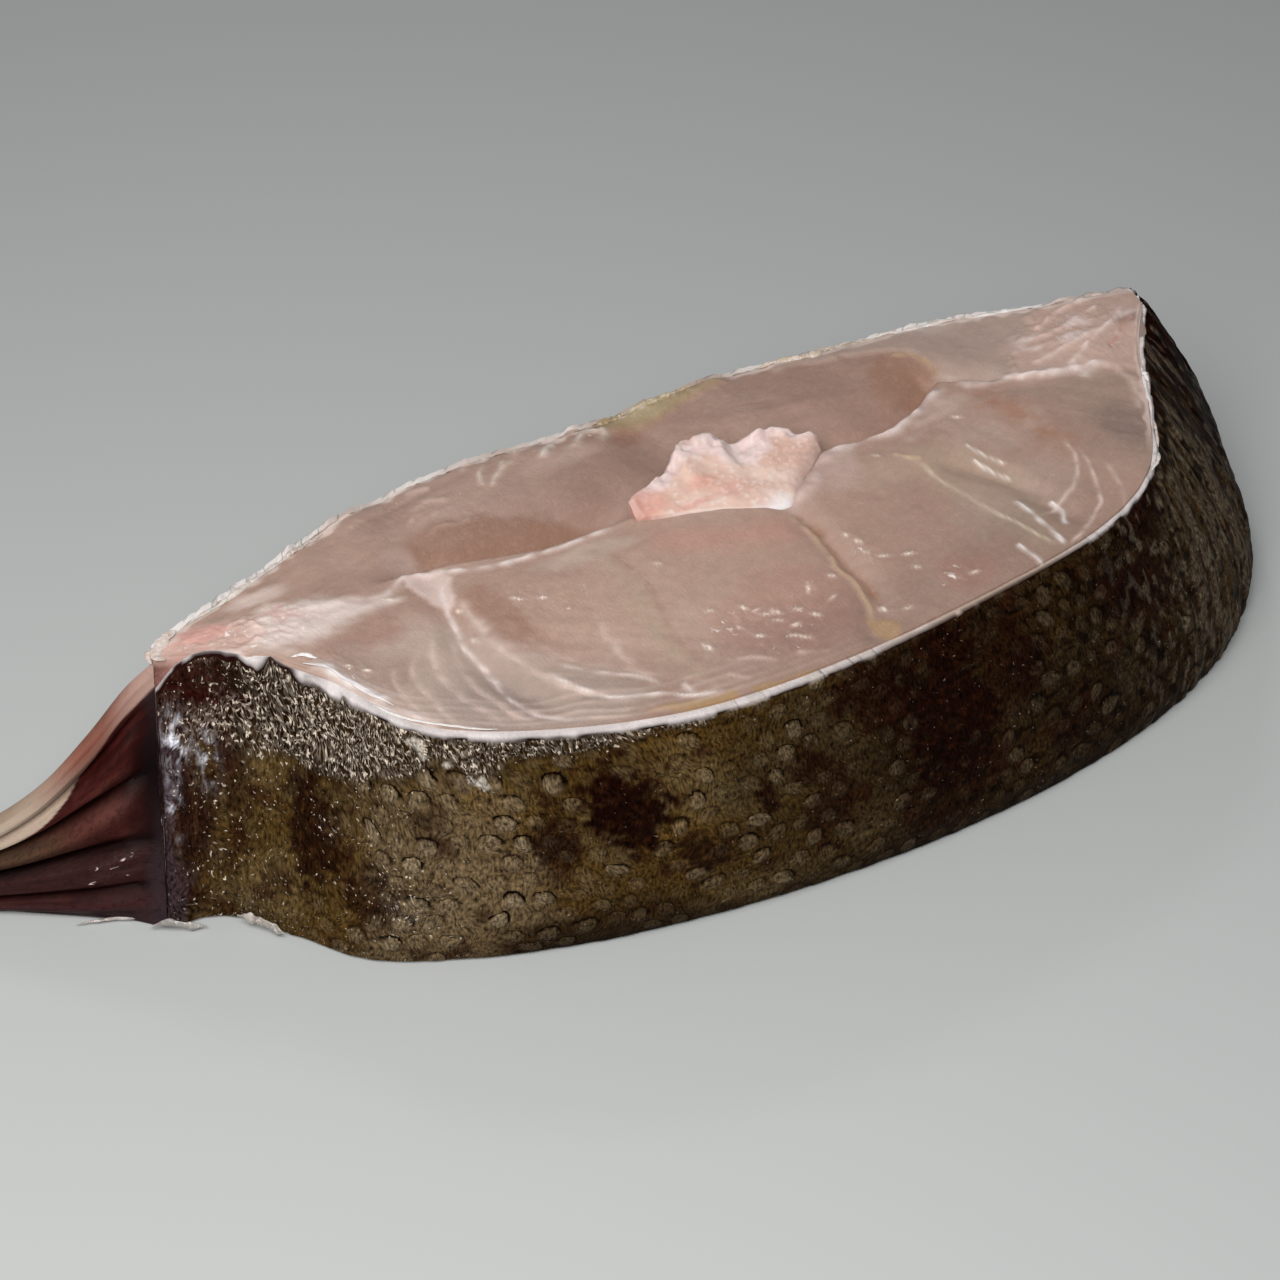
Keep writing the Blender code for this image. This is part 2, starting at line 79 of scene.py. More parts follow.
HOLLOW_DEPTH = 1.6  # of the hollow at the foot of the step
HOLLOW_WIDTH = 4.0
SEAMS = (
    ((55, -5), (51, -25), (51.5, -38), (57, -50)), ((126, -22), (126, -36), (124.5, -52), (118.5, -63)),
    ((162, -28), (169, -40), (171, -52)),
)
SEAM_DEPTH = 1.1
SEAM_WIDTH = 3.0
CORNER_LUMP = ((214.0, -4.0), (17.0, 9.0), 1.5)  # middle, half widths and height, at the blunt end
FLESH_LEVELS = (0.0, 0.07, 0.22, 0.45, 0.7, 0.9, 1.0)
DRESSED_LEVELS = (*FLESH_LEVELS[:-1], 0.965, 1.0)
FLESH_CLEARANCE = -0.15  # the dressed flesh reaches a little into the skins, so that no crack shows
FOOT_LIFT = 0.2  # the dressed flesh stops just above the lower cut

BONE_NEAR = (
    (98, -10.5), (112, -16), (125, -22.5), (135, -15.5), (142, -9.5),
)
BONE_FAR = (
    (98, -7.5), (104.5, -4.5), (111.5, -1), (117.5, 2), (128.5, -1), (136.5, -3), (142, -7),
)
BONE_TOP = (51.5, 54.0)  # heights of its near and far side
BONE_FOOT_TAPER = 0.94  # size at the lower cut
COLLAR_RISE = 3.0  # of the flesh that clings to the bone's far side
COLLAR_WIDTH = 4.0

SKIN_DEPTHS = ((0, 1.6), (30, 2.8), (90, 2.8), (170, 1.6), (250, 1.4))  # thickness along X, on the dark side
PALE_SKIN_DEPTH = 1.4
SKIN_CLEARANCE = 0.7
LIP_LEVEL = 0.85  # the part of the height above which a rim rises
PALE_LIP = ((0, 0.2),)  # how far the pale skin's rim rises
DRESSED_LIP = (
    (0, 0.2), (3, 0.7), (7, 1.1), (11, 1.3), (15, 0.5), (18, 1.8), (20, 0.7), (27, 1.4), (36, 0.2),
)  # how far the dark skin's rim rises, along X
END_FALL = ((0, 5.4), (2, 3.4), (4, 1.8), (7, 0.5), (10, 0))  # how far it falls at the fin end

FIN_TOP = (
    (0, -1.8, 49), (-5.5, 0.5, 43.5), (-14, 1.5, 35), (-23.5, 2.5, 27), (-33, 5.5, 20.5), (-43, 11.5, 14),
    (-53, 18, 9),
)
FIN_FOOT = (
    (-10, -17.8, 0.3), (-20, -10, 0.3), (-30, -2, 0.3), (-40, 5.5, 0.3), (-49, 12.5, 0.3), (-58, 19, 0.3),
)
FIN_SIDEWAYS = (0.51, 0.86)  # direction in plan across the fin
FIN_WIDTHS = (5.0, 1.8)  # its thickness at the root and the tip
# Where the folds between the rays start at the root and end at the tip, from foot to top
FIN_FOLDS = ((0.0, 0.0), (0.17, 0.13), (0.33, 0.46), (0.60, 0.64), (0.86, 0.70), (1.0, 1.0))
RAY_LENGTHS = (0.93, 1.0, 0.9, 0.82, 1.0)  # parts of the whole length
FOLD_LENGTH = 0.86  # the same for the skin between the rays
RAY_RISES = (1.4, 2.0, 2.2, 1.8, 2.6)
RAY_FULLNESS = 0.8
ROOT_BLEND = 0.25  # part of the length over which the fin leaves the skin's own direction
TOUCH_GAP = 0.3

# Fineness of the dressed pieces
FLESH_COLUMNS, NEAR_ROWS, FAR_ROWS = 440, 112, 66
DARK_SKIN_STEPS = (620, 100)
HIDDEN_STEP = 5  # the skins' hidden inner faces are this much coarser
PALE_SKIN_STEPS = (300, 50)
BONE_STEPS = (110, 70, 12)
FIN_COLUMNS, RAY_ROWS = 150, 17
STRAND_STEPS = (48, 8)
FINE = 40  # steps between two given points of a smooth curve
TRACE = 12  # points of a curve that only distances are measured to
SPREAD = 512  # size of the tables of random values
SCALE_SPACING, SCALE_ROW = 5.9, 4.4
SCALE_SIZE = 1.95
STROKE_WIDTH = 0.07  # half width of a wet glint

CAMERA_PLACE = (-109.0, -358.5, 359.3)
CAMERA_TARGET = (110.3, 9.3, 0.0)
CAMERA_LENS = 73.125
PHOTO_TURN = math.radians(30.8)  # how far the slice is turned against the camera
LIGHT_GAIN = np.array((1.0, 0.95, 0.935))  # albedo for each unit of the brightness that a tone is seen at


# ---- Curves and fields ----

def smooth_step(value):
    """0 up to a value of 0, 1 from a value of 1 on, and a soft slope between."""
    value = np.clip(value, 0.0, 1.0)
    return value * value * (3.0 - 2.0 * value)


def bump(values, middle, reach):
    """1 at the middle, falling off softly to both sides."""
    return np.exp(-(((values - middle) / reach) ** 2))


def smooth_curve(points, count):
    """Give `count` points, evenly spaced along a smooth curve through the given ones."""
    points = np.array(points, float)
    knots = np.vstack([2 * points[0] - points[1], points, 2 * points[-1] - points[-2]])
    place = np.linspace(0.0, len(points) - 1.0, FINE * (len(points) - 1) + 1)
    first = np.minimum(place.astype(int), len(points) - 2)
    part = (place - first)[:, None]
    a, b, c, d = (knots[first + step] for step in range(4))
    square = (2 * a - 5 * b + 4 * c - d) * part**2
    cube = (3 * b - a - 3 * c + d) * part**3
    fine = 0.5 * (2 * b + (c - a) * part + square + cube)
    lengths = np.linalg.norm(np.diff(fine, axis=0), axis=1)
    run = np.concatenate([[0.0], np.cumsum(lengths)])
    wanted = np.linspace(0.0, run[-1], count)
    return np.stack([np.interp(wanted, run, fine[:, axis]) for axis in range(fine.shape[1])], axis=1)


def near_path(x, y, path):
    """Signed distance in plan to a path, and the part of its length at the nearest point."""
    path = np.asarray(path, float)
    nearest = np.full(np.shape(x), np.inf)
    side, place = np.ones(np.shape(x)), np.zeros(np.shape(x))
    for step, (start, end) in enumerate(zip(path[:-1], path[1:])):
        way = end - start
        off_x, off_y = x - start[0], y - start[1]
        part = np.clip((off_x * way[0] + off_y * way[1]) / (way @ way), 0.0, 1.0)
        away = np.hypot(off_x - part * way[0], off_y - part * way[1])
        closer = away < nearest
        nearest = np.where(closer, away, nearest)
        side = np.where(closer, np.sign(way[0] * off_y - way[1] * off_x), side)
        place = np.where(closer, (step + part) / (len(path) - 1), place)
    return nearest * side, place


def patches(x, y, size, seed):
    """Smooth random values from -1 to 1 over a plane, which change over about `size` millimetres."""
    table = np.random.default_rng(seed).uniform(-1.0, 1.0, (SPREAD, SPREAD))
    u, v = np.asarray(x) / size + 0.37 * SPREAD, np.asarray(y) / size + 0.37 * SPREAD
    i, j = np.floor(u).astype(int), np.floor(v).astype(int)
    a, b = smooth_step(u - i), smooth_step(v - j)
    i, j, i_next, j_next = i % SPREAD, j % SPREAD, (i + 1) % SPREAD, (j + 1) % SPREAD
    low = table[i, j] * (1.0 - a) + table[i_next, j] * a
    high = table[i, j_next] * (1.0 - a) + table[i_next, j_next] * a
    return low * (1.0 - b) + high * b


def layered(x, y, size, seed, layers=3):
    """Patches within patches, each layer half as large and half as strong as the one before."""
    total = sum(patches(x, y, size / 2**layer, seed + layer) / 2**layer for layer in range(layers))
    return total / (2.0 - 0.5 ** (layers - 1))


def turned(x, y, degrees):
    """Places in plan, measured along and across a direction."""
    angle = math.radians(degrees)
    return x * math.cos(angle) + y * math.sin(angle), y * math.cos(angle) - x * math.sin(angle)


def oval(x, y, middle, halves):
    """Distance from a middle, 1 at the edge of the oval with the given half widths."""
    return np.hypot((x - middle[0]) / halves[0], (y - middle[1]) / halves[1])


def at(table, values):
    """Read a table of (place, value) pairs, in even slopes between its places."""
    return np.interp(values, *zip(*table))


def tone(shade):
    """Base colour of a surface that looks like this shade in soft light, each part from 0 to 255."""
    seen = np.array(shade) / 255.0
    return LIGHT_GAIN * np.where(seen > 0.04045, ((seen + 0.055) / 1.055) ** 2.4, seen / 12.92)


def coated(shape, shade):
    """A first coat of one shade over a grid."""
    return np.broadcast_to(tone(shade), (*shape, 3)).copy()


def blended(colours, target, share):
    """Colours brought nearer to a target, by a share from 0 to 1 at each spot."""
    return colours + (target - colours) * np.clip(share, 0.0, 1.0)[..., None]


def paint(colours, shade, share):
    """Tint a grid's colours towards a shade, by a share from 0 to 1 at each spot."""
    colours[:] = blended(colours, tone(shade), share)


# ---- Walls and blocks, as in the part's own shape ----

def evened(edge, count):
    """The same edge with its points evenly spaced in plan."""
    lengths = np.linalg.norm(np.diff(edge[:, :2], axis=0), axis=1)
    run = np.concatenate([[0.0], np.cumsum(lengths)])
    wanted = np.linspace(0.0, run[-1], count)
    return np.stack([np.interp(wanted, run, edge[:, axis]) for axis in range(3)], axis=1)


def crossing(spot, way, other_spot, other_way):
    """Where two lines in plan meet."""
    turn = way[0] * other_way[1] - way[1] * other_way[0]
    apart = other_spot - spot
    part = (apart[0] * other_way[1] - apart[1] * other_way[0]) / turn
    return np.array([spot[0] + part * way[0], spot[1] + part * way[1], spot[2]])


def inset(edges, depths):
    """Move the four edges of a loop inwards in plan, each by its own depths, and join them at new corners."""
    moved, ways = [], []
    for edge, depth in zip(edges, depths):
        way = np.gradient(edge[:, :2], axis=0)
        way /= np.linalg.norm(way, axis=1)[:, None]
        shifted = edge.copy()
        shifted[:, :2] += np.stack([-way[:, 1], way[:, 0]], axis=1) * np.reshape(depth, (-1, 1))
        moved.append(shifted)
        ways.append(way)
    corners = [
        crossing(moved[one - 1][-1], ways[one - 1][-1], moved[one][0], ways[one][0]) for one in range(4)
    ]
    joined = []
    for one in range(4):
        start, end = corners[one], corners[(one + 1) % 4]
        inner = moved[one][1:-1]
        after_start = (inner[:, :2] - start[:2]) @ ways[one][0] > 0.0
        before_end = (inner[:, :2] - end[:2]) @ ways[one][-1] < 0.0
        kept = inner[after_start & before_end]
        joined.append(evened(np.vstack([start, kept, end]), len(edges[one])))
    return joined


def wall_edges(level, columns, rows):
    """Outer edges of the skin at one height: near side, blunt end, far side, fin end."""
    foot_near, rim_near, foot_far, rim_far = (
        smooth_curve(edge, columns + 1) for edge in (NEAR_FOOT, NEAR_RIM, FAR_FOOT, FAR_RIM)
    )
    wave, pace = RAGGED_RIM
    x = rim_far[:, 0]
    calm = smooth_step(np.minimum(x - x[0], x[-1] - x) / RIM_CALM)
    rim_far[:, 2] += wave * calm * [noise.noise(Vector((place * pace, 3.0, 0.0))) for place in x]
    near = foot_near + (rim_near - foot_near) * level
    far = foot_far + (rim_far - foot_far) * level
    across = np.linspace(0.0, 1.0, rows + 1)[:, None]
    blunt_end = near[-1] + (far[-1] - near[-1]) * across
    end_bulge = END_BULGE[0] + (END_BULGE[1] - END_BULGE[0]) * level
    blunt_end[:, 0] += end_bulge * 4.0 * (across * (1.0 - across))[:, 0]
    fin_end = far[0] + (near[0] - far[0]) * across
    edges = (near, blunt_end, far[::-1], fin_end)
    swell = 4.0 * level * (1.0 - level)
    tuck = FOOT_TUCK * max(0.0, 1.0 - level / TUCK_LEVEL)
    depths = [tuck - swell * at(WALL_BULGES, edge[:, 0]) for edge in edges[:3]]
    return inset(edges, (*depths, 0.0))


def flesh_edges(level, columns, rows, clearance):
    """Edges of what lies behind the skin, which is bare at the fin end."""
    edges = wall_edges(level, columns, rows)
    dark = [at(SKIN_DEPTHS, edge[:, 0]) + clearance for edge in edges[:2]]
    return inset(edges, (*dark, PALE_SKIN_DEPTH + clearance, 0.0))


def filled(near, blunt_end, far, fin_end, shares):
    """Places of a grid between four edges. `shares` says for each column how far each row lies across it."""
    far, fin_end = far[::-1], fin_end[::-1]
    along = np.linspace(0.0, 1.0, len(near))[:, None, None]
    even = np.linspace(0.0, 1.0, len(fin_end))[:, None]
    shares = shares[:, :, None]
    ruled = near[:, None] * (1.0 - shares) + far[:, None] * shares
    ends = fin_end * (1.0 - along) + blunt_end * along
    straight = ends[:, :1] * (1.0 - even) + ends[:, -1:] * even
    return ruled + ends - straight


def block_of(columns, rows, levels):
    """A closed block of unit size, its corner at zero, cut into the given numbers of steps."""
    block = bmesh.new()
    bmesh.ops.create_grid(block, x_segments=columns, y_segments=rows, size=0.5)
    bmesh.ops.translate(block, verts=block.verts, vec=(0.5, 0.5, 0.0))
    top = list(block.faces)
    for level in range(levels):
        grown = bmesh.ops.extrude_face_region(block, geom=top)["geom"]
        if level:
            bmesh.ops.delete(block, geom=top, context="FACES")
        risen = [item for item in grown if isinstance(item, bmesh.types.BMVert)]
        bmesh.ops.translate(block, verts=risen, vec=(0.0, 0.0, 1.0 / levels))
        top = [item for item in grown if isinstance(item, bmesh.types.BMFace)]
    bmesh.ops.recalc_face_normals(block, faces=block.faces)
    return block


def piece_from(name, places, fields, flat_foot=False, hidden_row=None, smooth_angle=60.0):
    """A closed piece whose points lie at a grid of places, with values or colours painted on as fields."""
    steps = np.array(places.shape[:3]) - 1
    if hidden_row is not None:
        columns, levels = (np.arange(places.shape[axis]) // HIDDEN_STEP * HIDDEN_STEP for axis in (0, 2))
        levels[-1] = places.shape[2] - 1
        coarse = places[:, hidden_row][columns][:, levels]
        coarse[:, -1] = places[:, hidden_row, -1]
        coarse[-1] = places[-1, hidden_row]
        places = places.copy()
        places[:, hidden_row] = coarse
    block = block_of(*map(int, steps))
    keys = np.array([vert.co[:] for vert in block.verts])
    keys = np.rint(keys * steps).astype(int)
    spots = places[keys[:, 0], keys[:, 1], keys[:, 2]] * MM + SHIFT
    for vert, spot in zip(block.verts, spots):
        vert.co = spot
    if block.calc_volume(signed=True) < 0.0:
        bmesh.ops.reverse_faces(block, faces=block.faces)
    for field, values in fields.items():
        wide = np.broadcast_to(values, (*places.shape[:3], *values.shape[3:]))
        picked = wide[keys[:, 0], keys[:, 1], keys[:, 2]]
        if field == "tint":
            picked = np.hstack([picked, np.ones((len(picked), 1))])
            layer = block.verts.layers.float_color.new(field)
        elif picked.ndim == 2:
            layer = block.verts.layers.float_vector.new(field)
        else:
            layer = block.verts.layers.float.new(field)
        for vert, value in zip(block.verts, picked.tolist()):
            vert[layer] = value
    if hidden_row is not None:
        bmesh.ops.remove_doubles(block, verts=block.verts, dist=1e-7)
    if flat_foot:
        low = spots[:, 2].min()
        underside = [face for face in block.faces if all(vert.co.z < low + 1e-6 for vert in face.verts)]
        bmesh.ops.dissolve_faces(block, faces=underside, use_verts=False)
    mesh = bpy.data.meshes.new(name)
    block.to_mesh(mesh)
    block.free()
    mesh.shade_smooth()
    mesh.set_sharp_from_angle(angle=math.radians(smooth_angle))
    piece = bpy.data.objects.new(name, mesh)
    bpy.context.scene.collection.objects.link(piece)
    return piece


def finish_piece(name, places, tint, wet, look, place=None, rough=None, scaly=None, **shape):
    """A piece with its look, its colours and its other painted fields."""
    fields = {
        "tint": tint, "wet": wet,
        "rough": np.ones((1, 1, 1)) if rough is None else rough,
        "place": places if place is None else place,
    }
    if scaly is not None:
        fields["scaly"] = scaly
    piece = piece_from(name, places, fields, **shape)
    piece.data.materials.append(look)
    return piece


# ---- Flesh ----

WET_FLESH = (172, 145, 131)
LIGHT_FLESH = (184, 161, 148)
DEEP_FLESH = (158, 131, 118)
FAR_FLESH = (160, 132, 119)
CLOUDY = (212, 192, 182)
MEMBRANE = (226, 214, 210)
FAT = (184, 152, 108)
PALE_EDGE = (222, 208, 200)
GLINT = (252, 240, 226)

# Patches on the upper cut: outline, colour, strength, width of the fading edge, rise
FLESH_REGIONS = (
    (((92, -2), (104, 4), (112, 13), (104, 19), (92, 14)), (152, 124, 112), 0.6, 6, 0),
    # The brown patch next is partly the flesh's own tone behind the white line and partly painted shade in
    # the hollow at the foot of the step
    (((56, 3), (58, 9.5), (63, 13), (69, 12.5), (76, 8.5), (84, 3), (91, -4.5), (80, -6.5), (68, -5),
     (60, -2)), (142, 108, 90), 0.8, 4, 0),
    (((50.5, -1.5), (54, -2.4), (59, -6.6), (57.5, -10), (54, -17), (51.5, -13), (49.5, -7)),
     (222, 204, 198), 0.75, 1.3, 0.2),
    (((24.7, 3.4), (30.1, 0.2), (35.3, -1.5), (39.5, -5), (46, -8.7), (37.4, -10.4), (28.2, -13.2),
     (24.7, -14.9), (18, -9.5), (18, -3)), (224, 212, 206), 0.85, 5, 0.2),
    (((0, 0), (6, -5), (14, -8), (20, -6), (21, -1), (14, 3.5), (5, 4)), (214, 182, 172), 0.6, 4, 0),
    (((2, 1.5), (8, -1), (15, -1), (14, 2.5), (8, 4.5)), (216, 150, 142), 0.4, 3, 0),
    (((152.9, 23.5), (163.7, 21.3), (170.3, 18.3), (176.4, 14.6), (179.6, 9.9), (179.9, 4.2), (181.9, -0.6),
     (180, -2.9), (182.6, -6.7), (188.8, -7.2), (191.8, -8.9), (194.8, -3.4), (201.2, 2.1), (206.7, 6.4),
     (214, 14), (200, 22), (175, 29), (155, 32)), (176, 157, 147), 0.8, 2, 0.6),
    (((186, -11), (203, -16), (213, -18), (222, -12), (216, -28), (207, -40), (196, -50), (189, -42),
     (188, -26)), (158, 136, 124), 0.7, 5, 0),
    (((28, -24), (45, -16), (56, -24), (64, -42), (74, -56), (60, -61), (44, -54), (32, -38)),
     (180, 166, 157), 0.6, 8, 0),
    (((165, 2), (168, 11), (173, 14.5), (178, 10), (179.5, 3.5), (177, -1), (170, -2)), (152, 114, 92), 0.6,
     6, 0),
    (((207.5, 9), (206.7, 6.4), (201.2, 2.1), (194.8, -3.4), (191, -9.4), (202.7, -13.6), (210.4, -15.4),
     (216, -20), (224, -12), (233, -2), (236, 8), (222, 13)), (196, 170, 158), 0.85, 2.4, 0.7),
    (((156, -17), (166, -22), (172, -38), (168, -52), (160, -61), (157, -48), (155, -30)), (176, 158, 140),
     0.55, 6, 0),
    (((93, -44), (108, -38), (119, -40), (122, -50), (117, -61), (102, -61), (92, -54)), (166, 126, 115),
     0.4, 7, 0),
    (((98, -16), (112, -22), (122, -26), (121, -32), (108, -28), (97, -22)), (186, 142, 130), 0.5, 6, 0),
    (((57.5, -13), (63, -14), (65, -24), (62, -34), (57.5, -28), (56.5, -19)), (146, 110, 92), 0.6, 3.5, 0),
    (((22, -12), (30, -14), (41, -13), (42, -19), (30, -19.5), (24, -17)), (156, 126, 112), 0.8, 4.5, 0),
    (((27, -26), (35, -25), (42, -27), (37, -33), (30, -33)), (158, 134, 122), 0.7, 4, 0),
    (((138, -54), (143, -52), (150, -56), (146, -62), (138, -62)), (176, 134, 122), 0.5, 4, 0),
    (((110, 24), (117, 29), (125.3, 32), (132, 31), (139, 31), (140, 26.5), (130, 25), (118, 22)),
     (158, 140, 108), 0.8, 2.4, 1),
    (((44, 16), (60, 24), (80, 25), (96, 23), (96, 30), (78, 32), (54, 29)), (176, 150, 138), 0.6, 4, 0.2),
    (((70, -61.5), (78, -62.2), (86.5, -63.6), (86, -66), (77, -64.6)), FAT, 0.85, 1.2, 0.1),
    (((90, -65), (96, -65.6), (103, -65.4), (102, -67.6), (92, -67.2)), FAT, 0.8, 1.2, 0.1),
    (((119.5, -59), (122, -59), (122.6, -62), (120.4, -65.5), (118.4, -65)), FAT, 0.7, 1.6, 0.2),
)

# Hazy and darker places on the upper cut: middle, half widths, colour, strength
FLESH_PATCHES = (
    ((53.5, 5), (4, 4), (180, 158, 148), 0.6), ((24.5, 6.6), (6, 2.6), (216, 198, 190), 0.8),
    ((97.5, 20), (9, 3.5), (182, 160, 148), 0.7), ((190, 20.5), (9, 3.5), (186, 170, 160), 0.7),
    ((226, -4.5), (6, 2.5), (146, 118, 108), 0.7), ((174.5, -24), (8, 7), (178, 156, 144), 0.6),
    ((175, -9.5), (7, 3), (194, 172, 160), 0.6), ((200, -35), (6, 9), (134, 116, 108), 0.7),
    ((84, -15), (10, 3.2), (194, 178, 164), 0.65), ((157, -45), (9, 9), (166, 148, 136), 0.5),
    ((143, -15), (4, 6), (204, 182, 174), 0.5), ((175, -42), (8, 8), (178, 160, 148), 0.5),
    ((121, 26), (9, 2.6), (176, 162, 128), 0.6), ((113, 20), (4, 3), (146, 110, 92), 0.6),
    ((47, -46), (9, 9), (160, 146, 138), 0.5), ((146, -9), (6, 3), (206, 190, 184), 0.7),
    ((139, -19), (6, 4), (196, 172, 164), 0.5), ((150, -23), (10, 5), (180, 158, 142), 0.6),
    ((31, -20.5), (4, 5), (158, 136, 126), 0.8), ((35.5, -27), (5, 5), (160, 138, 126), 0.6),
    ((200, 1), (7, 3.5), (186, 160, 148), 0.6), ((176, -19), (11, 9), (184, 162, 150), 0.5),
    ((192, 17.5), (7, 3), (188, 172, 160), 0.5), ((233, 2.5), (4, 4), (176, 150, 140), 0.6),
)

